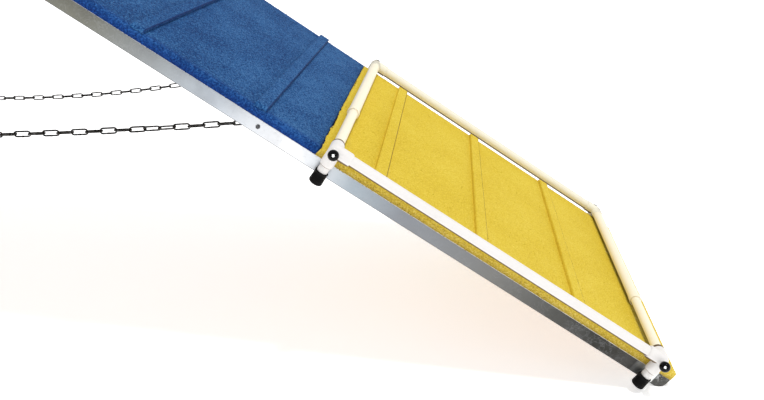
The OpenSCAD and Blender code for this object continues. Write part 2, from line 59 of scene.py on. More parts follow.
OUTWARDS = Matrix.Rotation(QUARTER_TURN, 4, "X")
DOWN = Matrix.Rotation(math.pi, 4, "X")
UPRIGHT = Matrix(((1, 0, 0, 0), (0, 0, 1, 0), (0, 1, 0, 0), (0, 0, 0, 1)))

Pair = tuple[float, float]
Triple = tuple[float, float, float]
Colour = tuple[float, float, float, float]


class Side(Enum):
    """The two ramps."""

    RIGHT = "right"
    LEFT = "left"


class Edge(Enum):
    """The two long edges of a ramp, with the sign of their place across it."""

    NEAR = -1
    FAR = 1

    @property
    def word(self) -> str:
        """The edge's name in the names of pieces."""
        return self.name.lower()


class Closing(Enum):
    """How a row of loops is closed."""

    CAPPED = "capped"
    RING = "ring"


def srgb(red: int, green: int, blue: int) -> Colour:
    """Turns a screen colour, 0 to 255 in each channel, into a linear one with full alpha."""
    parts = (channel / 255 for channel in (red, green, blue))
    return (*(part / 12.92 if part <= 0.04045 else ((part + 0.055) / 1.055) ** 2.4 for part in parts), 1.0)


# Outlines


def rounded(corners: Sequence[Pair], radii: Sequence[float], steps: int = 4) -> list[Pair]:
    """Rounds the corners of an outline.

    Args:
        corners: The corners in order.
        radii: A radius for each corner, zero for a sharp one.
        steps: Straight steps in each round corner.

    Returns:
        The points of the rounded outline.
    """
    outline: list[Pair] = []
    for number, corner in enumerate(corners):
        here = Vector(corner)
        back = (Vector(corners[number - 1]) - here).normalized()
        ahead = (Vector(corners[(number + 1) % len(corners)]) - here).normalized()
        radius = radii[number]
        if radius == 0:
            outline.append(corner)
            continue
        half_angle = back.angle(ahead) / 2
        middle = here + (back + ahead).normalized() * (radius / math.sin(half_angle))
        first = here + back * (radius / math.tan(half_angle)) - middle
        last = here + ahead * (radius / math.tan(half_angle)) - middle
        for step in range(steps + 1):
            way = first.lerp(last, step / steps).normalized() * radius
            outline.append(tuple(middle + way))
    return outline


def divided(outline: Sequence[Pair], longest: float) -> list[Pair]:
    """Divides the long straight stretches of a closed outline.

    Args:
        outline: The points in order.
        longest: The longest step that is left.

    Returns:
        The outline with points added on its long stretches.
    """
    points: list[Pair] = []
    for number, start in enumerate(outline):
        end = outline[(number + 1) % len(outline)]
        count = max(1, math.ceil(math.dist(start, end) / longest))
        for step in range(count):
            share = step / count
            points.append((start[0] + (end[0] - start[0]) * share, start[1] + (end[1] - start[1]) * share))
    return points


def inset(outline: Sequence[Pair], amount: float) -> list[Pair]:
    """Shrinks a mostly convex outline by moving each point inwards.

    Args:
        outline: The points in order, counterclockwise.
        amount: How far each point moves.

    Returns:
        The shrunk outline.
    """
    moved: list[Pair] = []
    for number, point in enumerate(outline):
        last = Vector(outline[number - 1])
        following = Vector(outline[(number + 1) % len(outline)])
        along = (following - last).normalized()
        moved.append((point[0] - along.y * amount, point[1] + along.x * amount))
    return moved


def hexagon(across: float, per_side: int = 4) -> list[Pair]:
    """A hexagon as a loop of evenly turned points.

    Args:
        across: Width across the flats.
        per_side: Points on each side.

    Returns:
        The loop, with a corner at every per_side-th point.
    """
    loop: list[Pair] = []
    for number in range(6 * per_side):
        turn = math.tau * number / (6 * per_side)
        off_flat = (turn % (math.pi / 3)) - math.pi / 6
        reach = across / 2 / math.cos(off_flat)
        loop.append((reach * math.cos(turn), reach * math.sin(turn)))
    return loop


def oblong(left: float, right: float, low: float, high: float, wall: float = 0.0) -> list[Pair]:
    """Corners of an oblong, counterclockwise, drawn in by the thickness of a wall."""
    left, right, low, high = left + wall, right - wall, low + wall, high - wall
    return [(left, low), (right, low), (right, high), (left, high)]


# Mesh making


class Sketch:
    """Points and faces of one mesh while it is put together."""

    def __init__(self) -> None:
        """Starts an empty mesh."""
        self.points: list[Vector] = []
        self.faces: list[tuple[int, ...]] = []
        self.marks: dict[str, list[float]] = {}

    def loop(self, points: Iterable[Sequence[float]], **marks: Sequence[float]) -> list[int]:
        """Adds a loop of points.

        Args:
            points: The points in order.
            marks: Named values, one for each point.

        Returns:
            The numbers of the new points.
        """
        first = len(self.points)
        self.points.extend(Vector(point) for point in points)
        for name, values in marks.items():
            self.marks.setdefault(name, []).extend(values)
        return list(range(first, len(self.points)))

    def skin(self, loops: Sequence[list[int]], closing: Closing) -> None:
        """Joins loops of equal length with faces.

        Args:
            loops: The loops in order.
            closing: Whether the ends are capped or the last loop meets the first.
        """
        pairs = list(zip(loops, loops[1:]))
        if closing is Closing.RING:
            pairs.append((loops[-1], loops[0]))
        else:
            self.faces.append(tuple(reversed(loops[0])))
            self.faces.append(tuple(loops[-1]))
        for one, two in pairs:
            for number, point in enumerate(one):
                beside = (number + 1) % len(one)
                self.faces.append((point, one[beside], two[beside], two[number]))

    def lathe(
        self,
        profile: Sequence[Pair],
        place: Matrix,
        closing: Closing,
        segments: int = 48,
        **marks: Sequence[float],
    ) -> None:
        """Turns a profile round the Z axis of a place.

        Args:
            profile: Radius and height of each point.
            place: Where the axis stands.
            closing: Whether the ends are capped or the profile is a closed ring.
            segments: Straight steps round the axis.
            marks: Named values, one for each point of the profile.
        """
        loops = []
        for number, (radius, height) in enumerate(profile):
            turns = (math.tau * step / segments for step in range(segments))
            circle = [(radius * math.cos(turn), radius * math.sin(turn), height) for turn in turns]
            here = {name: [values[number]] * segments for name, values in marks.items()}
            loops.append(self.loop([place @ Vector(point) for point in circle], **here))
        self.skin(loops, closing)

    def plate(self, outline: Sequence[Pair], low: float, high: float, bevel: float, place: Matrix) -> None:
        """Extrudes an outline along Z with bevelled edges.

        Args:
            outline: The points in order, counterclockwise.
            low: Lower level.
            high: Upper level.
            bevel: Width of the bevel.
            place: Where the plate stands.
        """
        small = inset(outline, bevel)
        levels = ((small, low), (outline, low + bevel), (outline, high - bevel), (small, high))
        loops = [self.loop(place @ Vector((x, y, level)) for x, y in points) for points, level in levels]
        self.skin(loops, Closing.CAPPED)

    def mesh(self, name: str) -> Mesh:
        """Makes the mesh, with doubled points merged and faces turned outwards.

        Args:
            name: The mesh's name.

        Returns:
            The finished mesh.
        """
        mesh = bpy.data.meshes.new(name)
        mesh.from_pydata(self.points, [], self.faces)
        for mark, values in self.marks.items():
            mesh.attributes.new(mark, "FLOAT", "POINT").data.foreach_set("value", values)
        work = bmesh.new()
        work.from_mesh(mesh)
        bmesh.ops.remove_doubles(work, verts=work.verts, dist=MERGE_DISTANCE)
        bmesh.ops.dissolve_degenerate(work, edges=work.edges, dist=MERGE_DISTANCE)
        bmesh.ops.recalc_face_normals(work, faces=work.faces)
        work.to_mesh(mesh)
        work.free()
        return mesh


def tube_profile(outer: float, inner: float, start: float, end: float, bevel: float) -> list[Pair]:
    """Closed profile of a pipe's wall between two radii and two ends, its corners bevelled."""
    corners = [(outer, start), (outer, end), (inner, end), (inner, start)]
    return rounded(corners, [bevel] * len(corners), steps=2)


def settle(mesh: Mesh, place: Matrix) -> Mesh:
    """Moves a mesh to its place for good.

    Args:
        mesh: The mesh.
        place: Where it goes, possibly mirrored.

    Returns:
        The same mesh.
    """
    mesh.transform(place)
    if place.determinant() < 0:
        mesh.flip_normals()
    return mesh


def add_object(name: str, mesh: Mesh) -> Object:
    """Links a mesh to the scene.

    Args:
        name: The object's name.
        mesh: Its mesh.

    Returns:
        The object, at the origin.
    """
    made = bpy.data.objects.new(name, mesh)
    bpy.context.scene.collection.objects.link(made)
    return made


def applied(made: Object) -> Mesh:
    """Turns an object and its modifiers into a plain mesh.

    Args:
        made: The object, which is removed.

    Returns:
        The plain mesh.
    """
    evaluated = made.evaluated_get(bpy.context.evaluated_depsgraph_get())
    mesh = bpy.data.meshes.new_from_object(evaluated)
    made.modifiers.clear()
    bpy.data.objects.remove(made)
    return mesh


@dataclass(frozen=True)
class Dress:
    """What a finished piece rides on, takes its finish from and stands for."""

    body: str
    slot: str
    nodes: tuple[str, ...]
    material: Material
    sharp_angle: float = math.radians(40)
    lit_by: Optional[Collection] = None

    def put(self, name: str, mesh: Mesh) -> Object:
        """Adds a mesh to the scene as a finished piece.

        Args:
            name: The piece's name.
            mesh: Its mesh, in place.

        Returns:
            The piece.
        """
        mesh.materials.clear()
        mesh.materials.append(self.material)
        mesh.shade_smooth()
        mesh.set_sharp_from_angle(angle=self.sharp_angle)
        piece = add_object(name, mesh)
        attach(piece, self.body)
        if self.nodes:
            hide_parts(*self.nodes)
        if self.lit_by:
            self.lit_by.objects.link(piece)
        LOG.info("%s: %d faces on %s", name, len(mesh.polygons), self.body)
        return piece


def paint_node(node: str, material: Material) -> None:
    """Gives a node of the frame its finish.

    Args:
        node: The node's name.
        material: The finish.
    """
    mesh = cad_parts[node].data
    mesh.materials.clear()
    mesh.materials.append(material)
    LOG.info("%s: kept, painted %s", node, material.name)


# Node trees


class NodeSketch:
    """Adds nodes to a tree and links them."""

    def __init__(self, tree: NodeTree) -> None:
        """Takes up a tree."""
        self.tree = tree

    def put(self, socket: NodeSocket, value: Any) -> None:
        """Links or sets an input.

        Args:
            socket: The input.
            value: The socket or value that goes in.
        """
        if isinstance(value, NodeSocket):
            self.tree.links.new(value, socket)
        else:
            socket.default_value = value

    def add(self, kind: str, inputs: Optional[dict] = None, **settings: Any) -> Node:
        """Adds a node.

        Args:
            kind: The node's type.
            inputs: Sockets or values for its inputs, by name or number.
            settings: Properties of the node.

        Returns:
            The node.
        """
        node = self.tree.nodes.new(kind)
        for name, value in settings.items():
            setattr(node, name, value)
        for key, value in (inputs or {}).items():
            self.put(node.inputs[key], value)
        return node

    def out(self, kind: str, inputs: Optional[dict] = None, **settings: Any) -> NodeSocket:
        """Adds a node and gives its first output."""
        return self.add(kind, inputs, **settings).outputs[0]

    def sum(self, operation: str, first: Any, second: Any = 0.0) -> NodeSocket:
        """Adds a Math node and gives its result."""
        return self.out("ShaderNodeMath", {0: first, 1: second}, operation=operation)

    def times(self, first: Any, second: Any) -> NodeSocket:
        """Multiplies two values."""
        return self.out("ShaderNodeMath", {0: first, 1: second}, operation="MULTIPLY")

    def noise(self, place: NodeSocket, scale: Any, detail: float, **more: float) -> NodeSocket:
        """The value of a noise texture."""
        return self.out("ShaderNodeTexNoise", {"Vector": place, "Scale": scale, "Detail": detail, **more})

    def mix(self, share: Any, first: Any, second: Any) -> NodeSocket:
        """Mixes two colours by the share of the second."""
        return self.add("ShaderNodeMix", {0: share, 6: first, 7: second}, data_type="RGBA").outputs[2]

    def fit(self, value: Any, low: Any, high: Any, to_low: float = 0.0, to_high: float = 1.0) -> NodeSocket:
        """Fits a value from one range into another."""
        inputs = {"Value": value, "From Min": low, "From Max": high, "To Min": to_low, "To Max": to_high}
        return self.out("ShaderNodeMapRange", inputs)


class NodeGroup(NodeSketch):
    """A node group with named inputs and outputs."""

    def __init__(self, name: str, kind: str, inputs: dict[str, str], outputs: dict[str, str]) -> None:
        """Makes the group.

        Args:
            name: Its name.
            kind: Its tree's type.
            inputs: The inputs' types by name.
            outputs: The outputs' types by name.
        """
        super().__init__(bpy.data.node_groups.new(name, kind))
        self.keys: dict[str, str] = {}
        face = self.tree.interface
        for in_out, sockets in (("OUTPUT", outputs), ("INPUT", inputs)):
            for label, sort in sockets.items():
                socket = face.new_socket(name=label, in_out=in_out, socket_type=f"NodeSocket{sort}")
                self.keys[label] = socket.identifier
        self.source = self.tree.nodes.new("NodeGroupInput")
        self.sink = self.tree.nodes.new("NodeGroupOutput")

    def __getitem__(self, label: str) -> NodeSocket:
        """The socket of a named input."""
        return self.source.outputs[label]

    def give(self, label: str, socket: NodeSocket) -> None:
        """Links a named output."""
        self.put(self.sink.inputs[label], socket)


class GeometryTree(NodeGroup):
    """A Geometry Nodes tree, run on one mesh at a time."""

    def __init__(self, name: str, inputs: dict[str, str]) -> None:
        """Makes the tree with these inputs beside its mesh and material."""
        common = {"Geometry": "Geometry", "Material": "Material"}
        super().__init__(name, "GeometryNodeTree", {**common, **inputs}, {"Geometry": "Geometry"})

    def mark(self, name: str) -> NodeSocket:
        """A named value on the points of the mesh."""
        return self.out("GeometryNodeInputNamedAttribute", {"Name": name}, data_type="FLOAT")

    def strew(self, points: NodeSocket, instance: NodeSocket, **turned: NodeSocket) -> NodeSocket:
        """Puts an instance at each point."""
        return self.out("GeometryNodeInstanceOnPoints", {"Points": points, "Instance": instance, **turned})

    def finish(self, geometry: NodeSocket) -> None:
        """Ends the tree with plain geometry in its material.

        Args:
            geometry: What the tree has made.
        """
        plain = self.out("GeometryNodeRealizeInstances", {"Geometry": geometry})
        inputs = {"Geometry": plain, "Material": self["Material"]}
        self.give("Geometry", self.out("GeometryNodeSetMaterial", inputs))

    def grow(self, mesh: Mesh, material: Material, **values: Any) -> Mesh:
        """Runs the tree.

        Args:
            mesh: The mesh that goes in.
            material: The material that is set.
            values: The other inputs, with spaces in their names as underscores.

        Returns:
            The plain mesh that comes out.
        """
        host = add_object(self.tree.name, mesh)
        modifier = host.modifiers.new(self.tree.name, "NODES")
        modifier.node_group = self.tree
        modifier[self.keys["Material"]] = material
        for name, value in values.items():
            modifier[self.keys[name.replace("_", " ")]] = value
        return applied(host)


def row_tree() -> GeometryTree:
    """Tree that repeats a mesh along a straight row.

    Returns:
        The tree, with inputs Count, Start and Step.
    """
    tree = GeometryTree("straight_row", {"Count": "Int", "Start": "Vector", "Step": "Vector"})
    line_inputs = {"Count": tree["Count"], "Start Location": tree["Start"], "Offset": tree["Step"]}
    line = tree.out("GeometryNodeMeshLine", line_inputs, mode="OFFSET")
    tree.finish(tree.strew(line, tree["Geometry"]))
    return tree


def crumb_tree() -> GeometryTree:
    """Tree that makes a rubber surface uneven and strews crumbs of rubber over it.

    The mesh carries the marks outer, on faces that show, and strip, on the edges, the side faces and the
    round low end.

    Returns:
        The tree, with inputs for the relief, the crumbs and the seed.
    """
    inputs = {"Relief": "Float", "Relief Scale": "Float", "Crumb Size": "Float", "Edge Crumbs": "Float"}
    tree = GeometryTree("crumb_rubber", {**inputs, "Top Crumbs": "Float", "Seed": "Int"})
    outer = tree.mark("outer")
    strip = tree.mark("strip")
    waves = tree.out("ShaderNodeTexNoise", {"Scale": tree["Relief Scale"], "Detail": 3.0})
    height = tree.times(tree.sum("SUBTRACT", waves, 0.5), tree["Relief"])
    normal = tree.out("GeometryNodeInputNormal")
    push_inputs = {0: normal, "Scale": tree.times(height, outer)}
    push = tree.out("ShaderNodeVectorMath", push_inputs, operation="SCALE")
    uneven = tree.out("GeometryNodeSetPosition", {"Geometry": tree["Geometry"], "Offset": push})
    on_edge = tree.times(tree["Edge Crumbs"], strip)
    on_top = tree.times(tree["Top Crumbs"], tree.sum("SUBTRACT", 1.0, strip))
    density = tree.times(tree.sum("ADD", on_edge, on_top), outer)
    spread_inputs = {"Mesh": uneven, "Density": density, "Seed": tree["Seed"]}
    spread = tree.out("GeometryNodeDistributePointsOnFaces", spread_inputs)
    radius = tree.times(tree["Crumb Size"], 0.5)
    depth = tree.times(radius, 1.7)
    crumb_inputs = {"Vertices": 3, "Radius Top": 0.0, "Radius Bottom": radius, "Depth": depth}
    crumb = tree.out("GeometryNodeMeshCone", crumb_inputs)
    turn_inputs = {0: (0.0, 0.0, 0.0), 1: (math.tau, math.tau, math.tau), "Seed": tree["Seed"]}
    turn = tree.out("FunctionNodeRandomValue", turn_inputs, data_type="FLOAT_VECTOR")
    shape_inputs = {0: (0.5, 0.5, 0.4), 1: (1.3, 1.2, 1.0), "Seed": tree.sum("ADD", tree["Seed"], 1.0)}
    shape = tree.out("FunctionNodeRandomValue", shape_inputs, data_type="FLOAT_VECTOR")
    turned = tree.out("FunctionNodeEulerToRotation", {0: turn})
    strewn = tree.strew(spread, crumb, Rotation=turned, Scale=shape)
    tint_inputs = {2: 0.15, 3: 1.0, "Seed": tree.sum("ADD", tree["Seed"], 2.0)}
    tint = tree.add("FunctionNodeRandomValue", tint_inputs, data_type="FLOAT")
    tinted_inputs = {"Geometry": strewn, "Name": "tint", "Value": tint.outputs[1]}
    settings = {"data_type": "FLOAT", "domain": "INSTANCE"}
    tinted = tree.out("GeometryNodeStoreNamedAttribute", tinted_inputs, **settings)
    joined = tree.add("GeometryNodeJoinGeometry")
    tree.tree.links.new(uneven, joined.inputs[0])
    tree.tree.links.new(tinted, joined.inputs[0])
    tree.finish(joined.outputs[0])
    return tree


def chain_tree() -> GeometryTree:
    """Tree that hangs links along a round arc, every second one turned a quarter.

    Returns:
        The tree, with inputs for the count, the first link's number, the arc and the twist.
    """
    sizes = dict.fromkeys(("First Angle", "Turn", "Radius", "Twist"), "Float")
    numbers = dict.fromkeys(("Count", "First", "Last", "Bolt End", "Slack Start", "Slack End"), "Int")
    tree = GeometryTree("hanging_links", {"Middle": "Vector", **sizes, **numbers})
    line_inputs = {"Count": tree["Count"], "Offset": (0.0, 0.0, 0.0)}
    line = tree.out("GeometryNodeMeshLine", line_inputs, mode="OFFSET")
    number = tree.sum("ADD", tree.out("GeometryNodeInputIndex"), tree["First"])
    angle = tree.sum("SUBTRACT", tree["First Angle"], tree.times(number, tree["Turn"]))
    reach = tree.times(tree.sum("SINE", angle), tree["Radius"])
    drop = tree.times(tree.sum("COSINE", angle), tree["Radius"])
    off = tree.out("ShaderNodeCombineXYZ", {"X": reach, "Z": tree.times(drop, -1.0)})
    place = tree.out("ShaderNodeVectorMath", {0: tree["Middle"], 1: off}, operation="ADD")
    hung = tree.out("GeometryNodeSetPosition", {"Geometry": line, "Position": place})
    quarter = tree.times(tree.sum("FLOORED_MODULO", number, 2.0), QUARTER_TURN)
    from_bolt = tree.sum("MINIMUM", number, tree.sum("SUBTRACT", tree["Last"], number))
    by_bolt = tree.fit(from_bolt, 0.0, tree["Bolt End"])
    in_slack = tree.fit(from_bolt, tree["Slack Start"], tree["Slack End"])
    twisted = tree.times(tree.sum("ADD", by_bolt, in_slack), tree["Twist"])
    roll = tree.sum("ADD", quarter, twisted)
    euler = tree.out("ShaderNodeCombineXYZ", {"X": roll, "Y": tree.times(angle, -1.0)})
    turned = tree.out("FunctionNodeEulerToRotation", {0: euler})
    tree.finish(tree.strew(hung, tree["Geometry"], Rotation=turned))
    return tree


def fastener_tree() -> GeometryTree:
    """Tree that puts a fastener at each point of a mesh, turned as the point's mark roll says.

    Returns:
        The tree, with the input Fastener.
    """
    tree = GeometryTree("fasteners", {"Fastener": "Object"})
    info = tree.add("GeometryNodeObjectInfo", {"Object": tree["Fastener"], "As Instance": True})
    euler = tree.out("ShaderNodeCombineXYZ", {"X": tree.mark("roll")})
    turned = tree.out("FunctionNodeEulerToRotation", {0: euler})
    tree.finish(tree.strew(tree["Geometry"], info.outputs["Geometry"], Rotation=turned))
    return tree


def weld_tree() -> GeometryTree:
    """Tree that lays overlapping weld ripples along the edges of a wire mesh.

    Returns:
        The tree, with inputs Spacing, Radius and Seed.
    """
    tree = GeometryTree("weld_seam", {"Spacing": "Float", "Radius": "Float", "Seed": "Int"})
    curve = tree.out("GeometryNodeMeshToCurve", {"Mesh": tree["Geometry"]})
    steps_inputs = {"Curve": curve, "Length": tree["Spacing"]}
    steps = tree.out("GeometryNodeResampleCurve", steps_inputs, mode="LENGTH")
    ripple = tree.out("GeometryNodeMeshIcoSphere", {"Radius": tree["Radius"], "Subdivisions": 2})
    size_inputs = {0: (0.8, 0.7, 0.8), 1: (1.1, 1.0, 1.1), "Seed": tree["Seed"]}
    size = tree.out("FunctionNodeRandomValue", size_inputs, data_type="FLOAT_VECTOR")
    tree.finish(tree.strew(steps, ripple, Scale=size))
    return tree


# Shared shading effects


class EffectGroup(NodeGroup):
    """A shader node group that gives colours, masks and heights."""

    def __init__(self, name: str, inputs: dict[str, str], outputs: dict[str, str]) -> None:
        """Makes the group with these inputs beside the place on the surface."""
        super().__init__(name, "ShaderNodeTree", {"Vector": "Vector", **inputs}, outputs)


class Effects:
    """The shading effects that several finishes share, each built once."""

    def __init__(self) -> None:
        """Builds each effect."""
        self.crumbs = self.crumb_colours()
        self.scuffs = self.scuff_lines()
        self.grime = self.grime_patches()

    @staticmethod
    def crumb_colours() -> NodeTree:
        """Group that colours rubber crumb by crumb, with a height for its grain.

        Returns:
            The group's tree.
        """
        inputs = {"Crumb Scale": "Float", "Contrast": "Float", **dict.fromkeys(SHADES, "Color")}
        group = EffectGroup("crumb_colours", inputs, {"Colour": "Color", "Height": "Float"})
        place = group["Vector"]
        scale = group["Crumb Scale"]
        cells = group.add("ShaderNodeTexVoronoi", {"Vector": place, "Scale": scale})
        chance = group.out("ShaderNodeSeparateColor", {0: cells.outputs["Color"]})
        clumps = group.noise(place, group.times(scale, 0.8), 3.0)
        patches = group.noise(place, group.times(scale, 0.02), 4.0)
        clump_share = group.fit(clumps, 0.3, 0.7)
        by_crumb = group.times(chance, 0.45)
        blend = group.sum("ADD", by_crumb, group.times(clump_share, 0.55))
        drift = group.sum("ADD", blend, group.fit(patches, 0.3, 0.7, -0.12, 0.12))
        spread = group.times(group.sum("SUBTRACT", drift, 0.5), group["Contrast"])
        level = group.sum("ADD", spread, 0.5)
        darker = group.fit(level, 0.5, 0.0)
        lighter = group.fit(level, 0.5, 1.0)
        shaded = group.mix(darker, group["Middle"], group["Dark"])
        group.give("Colour", group.mix(lighter, shaded, group["Light"]))
        domes = group.sum("SUBTRACT", 1.0, cells.outputs["Distance"])
        group.give("Height", group.sum("ADD", group.times(domes, 0.6), clumps))
        return group.tree

    @staticmethod
    def scuff_lines() -> NodeTree:
        """Group that draws thin curling scuffs.

        Returns:
            The group's tree, which gives a mask.
        """
        inputs = dict.fromkeys(("Scale", "Width", "Amount"), "Float")
        group = EffectGroup("scuff_lines", inputs, {"Mask": "Float"})
        place = group["Vector"]
        curls = group.noise(place, group["Scale"], 2.0, Distortion=2.2)
        off_line = group.sum("ABSOLUTE", group.sum("SUBTRACT", curls, 0.5))
        near_line = group.sum("SUBTRACT", 1.0, group.sum("DIVIDE", off_line, group["Width"]))
        lines = group.sum("MAXIMUM", near_line, 0.0)
        where = group.noise(place, group.times(group["Scale"], 0.35), 2.0)
        patchy = group.times(lines, group.fit(where, 0.42, 0.62))
        group.give("Mask", group.times(patchy, group["Amount"]))
        return group.tree

    @staticmethod
    def grime_patches() -> NodeTree:
        """Group that lays soft grime over a colour, in patches and fine specks.

        Returns:
            The group's tree.
        """
        inputs = {"Scale": "Float", "Colour": "Color", "Grime": "Color", "Amount": "Float"}
        group = EffectGroup("grime_patches", inputs, {"Colour": "Color", "Mask": "Float"})
        place = group["Vector"]
        broad = group.noise(place, group["Scale"], 5.0, Roughness=0.6)
        fine = group.noise(place, group.times(group["Scale"], 9.0), 2.0)
        patch = group.fit(broad, 0.42, 0.72)
        speck = group.fit(fine, 0.62, 0.72)
        both = group.sum("ADD", group.times(patch, 0.7), group.times(speck, 0.3))
        mask = group.times(both, group["Amount"])
        group.give("Colour", group.mix(mask, group["Colour"], group["Grime"]))
        group.give("Mask", mask)
        return group.tree


# Finishes


class Paint(NodeSketch):
    """A material with its shader, ready for the nodes of a finish."""

    def __init__(self, name: str, effects: Effects) -> None:
        """Starts a material.

        Args:
            name: The material's name.
            effects: The shared effects.
        """
        self.material = bpy.data.materials.new(name)
        self.material.use_nodes = True
        super().__init__(self.material.node_tree)
        self.tree.nodes.clear()
        self.effects = effects
        self.shader = self.add("ShaderNodeBsdfPrincipled")
        self.add("ShaderNodeOutputMaterial", {"Surface": self.shader.outputs[0]})
        self.place = self.add("ShaderNodeTexCoord").outputs["Object"]

    def effect(self, group: NodeTree, inputs: dict) -> Node:
        """Places a shared effect with these inputs."""
        return self.add("ShaderNodeGroup", {"Vector": self.place, **inputs}, node_tree=group)

    def soil(self, scale: float, colour: Any, grime: Colour, amount: float) -> Node:
        """Lays grime over a colour."""
        inputs = {"Scale": scale, "Colour": colour, "Grime": grime, "Amount": amount}
        return self.effect(self.effects.grime, inputs)

    def scuffs(self, scale: float, width: float, amount: float) -> NodeSocket:
        """The mask of some scuffs."""
        inputs = {"Scale": scale, "Width": width, "Amount": amount}
        return self.effect(self.effects.scuffs, inputs).outputs["Mask"]

    def mark(self, name: str) -> NodeSocket:
        """The value of a mark on the mesh."""
        return self.add("ShaderNodeAttribute", attribute_name=name).outputs["Fac"]

    def stretched(self, scale: Sequence[float], turn: float = 0.0) -> NodeSocket:
        """Object coordinates turned about Y and then stretched along each axis."""
        turned = self.out("ShaderNodeMapping", {"Vector": self.place, "Rotation": (0.0, turn, 0.0)})
        return self.out("ShaderNodeMapping", {"Vector": turned, "Scale": tuple(scale)})

    def wire(self, label: str, value: Any) -> None:
        """Sets or links an input of the shader."""
        self.put(self.shader.inputs[label], value)

    def bump(self, height: NodeSocket, distance: float, strength: float = 1.0) -> None:
        """Raises the surface by a height, one unit of which is as high as the distance."""
        inputs = {"Height": height, "Distance": distance, "Strength": strength}
        self.wire("Normal", self.out("ShaderNodeBump", inputs))


class Finish:
    """A finish that makes a material of its own."""

    name: str

    def lay(self, paint: Paint) -> None:
        """Lays the finish on a material."""
        raise NotImplementedError

    def paint(self, effects: Effects) -> Material:
        """Builds the material.

        Args:
            effects: The shared effects.

        Returns:
            The material.
        """
        paint = Paint(self.name, effects)
        self.lay(paint)
        return paint.material


@dataclass(frozen=True)
class CrumbRubber(Finish):
    """Coloured rubber crumb bound into a coat, coarser along its edges, where a darker palette is painted
    shade.
    """

    name: str
    top: tuple[Colour, ...]
    edge: tuple[Colour, ...]
    crease: Colour
    contrast: float
    edge_contrast: float
    crumb_scale: float = 320.0
    roughness: float = 0.62
    grain: float = 0.0012
    specular: float = 0.12
    tint_share: float = 0.55

    def crumbs(self, paint: Paint, colours: Sequence[Colour], contrast: float) -> Node:
        """Lays crumbs of a dark, a middle and a light colour."""
        inputs = {"Crumb Scale": self.crumb_scale, "Contrast": contrast}
        return paint.effect(paint.effects.crumbs, {**inputs, **dict(zip(SHADES, colours))})

    def lay(self, paint: Paint) -> None:
        """Lays the finish on a material.

        Args:
            paint: The material's nodes.
        """
        top = self.crumbs(paint, self.top, self.contrast)
        edge = self.crumbs(paint, self.edge, self.edge_contrast)
        strip = paint.mark("strip")
        # The edge palette on the strip mark is painted shade: darker and more saturated along the edges and
        # down the side faces.
        colour = paint.mix(strip, top.outputs["Colour"], edge.outputs["Colour"])
        loose_colour = paint.mix(strip, self.top[-1], self.edge[-1])
        loose = paint.times(paint.mark("tint"), self.tint_share)
        crumbly = paint.mix(loose, colour, loose_colour)
        # Painted shade in the groove at the blue coat's end, along the coat's lower lip and on the slats.
        paint.wire("Base Color", paint.mix(paint.mark("crease"), crumbly, self.crease))
        height = top.outputs["Height"]
        paint.wire("Roughness", paint.fit(height, 0.4, 1.2, self.roughness + 0.12, self.roughness))
        paint.wire("Specular IOR Level", self.specular)
        paint.bump(height, self.grain)


@dataclass(frozen=True)
class RailAluminium(Finish):
    """Mill-finish aluminium tube, its colour run along it: duller near the ridge, a painted reflection bright
    in the middle and just above the foot, and darker towards the ground.
    """

    name: str
    roughness: float = 0.36

    def lay(self, paint: Paint) -> None:
        """Lays the finish on a material.

        Args:
            paint: The material's nodes.
        """
        # Colour ramp along the rail: the bright stretches in the middle and just above the foot are a painted
        # reflection.
        ramp = paint.add("ShaderNodeValToRGB", {0: paint.mark("along")})
        painted_reflection_stops = ramp.color_ramp.elements
        painted_reflection_stops[0].color = srgb(132, 130, 123)
        painted_reflection_stops[1].position = 0.972
        painted_reflection_stops[1].color = srgb(224, 226, 224)
        for position, colour in (
            (0.39, srgb(118, 118, 109)),
            (0.51, srgb(174, 181, 189)),
            (0.59, srgb(232, 233, 235)),
            (0.65, srgb(155, 165, 173)),
            (0.70, srgb(131, 135, 141)),
            (0.80, srgb(115, 115, 113)),
            (0.87, srgb(76, 76, 73)),
            (0.92, srgb(54, 54, 51)),
            (0.961, srgb(60, 59, 56)),
        ):
            painted_reflection_stops.new(position).color = colour
        wiped = paint.soil(14.0, ramp.outputs[0], srgb(120, 120, 122), 0.3)
        scuffs = paint.scuffs(34.0, 0.05, 0.06)
        bright = paint.mix(scuffs, wiped.outputs["Colour"], srgb(240, 243, 250))
        # Painted shade on the lower outer corner of the tube and a painted highlight on its top outer corner.
        shaded = paint.mix(paint.mark("lower_rim"), bright, srgb(84, 86, 90))
        paint.wire("Base Color", paint.mix(paint.mark("rim"), shaded, srgb(255, 255, 255)))
        paint.wire("Metallic", 1.0)
        rough = paint.sum("ADD", self.roughness, paint.times(scuffs, 0.2))
        paint.wire("Roughness", paint.sum("ADD", rough, paint.times(wiped.outputs["Mask"], 0.3)))
        brushed = paint.noise(paint.stretched((20.0, 900.0, 900.0), -SLOPE), 5.0, 2.0)
        paint.bump(paint.sum("ADD", brushed, scuffs), 0.0001, 0.6)


@dataclass(frozen=True)
class Metal(Finish):
    """Plain metal with grime in patches, scuffs and a fine grain."""

    name: str
    colour: Colour
    grime: Colour
    roughness: float
    grime_amount: float = 0.5
    scuff_amount: float = 0.5
    grain_scale: float = 500.0
    grain: float = 0.00015

    def lay(self, paint: Paint) -> None:
        """Lays the finish on a material.

        Args:
            paint: The material's nodes.
        """
        soiled = paint.soil(45.0, self.colour, self.grime, self.grime_amount)
        scuffs = paint.scuffs(90.0, 0.03, self.scuff_amount)
        paint.wire("Base Color", paint.mix(scuffs, soiled.outputs["Colour"], srgb(225, 225, 228)))
        paint.wire("Metallic", 1.0)
        worn = paint.times(soiled.outputs["Mask"], 0.35)
        paint.wire("Roughness", paint.sum("ADD", self.roughness, worn))
        paint.bump(paint.noise(paint.place, self.grain_scale, 3.0), self.grain)


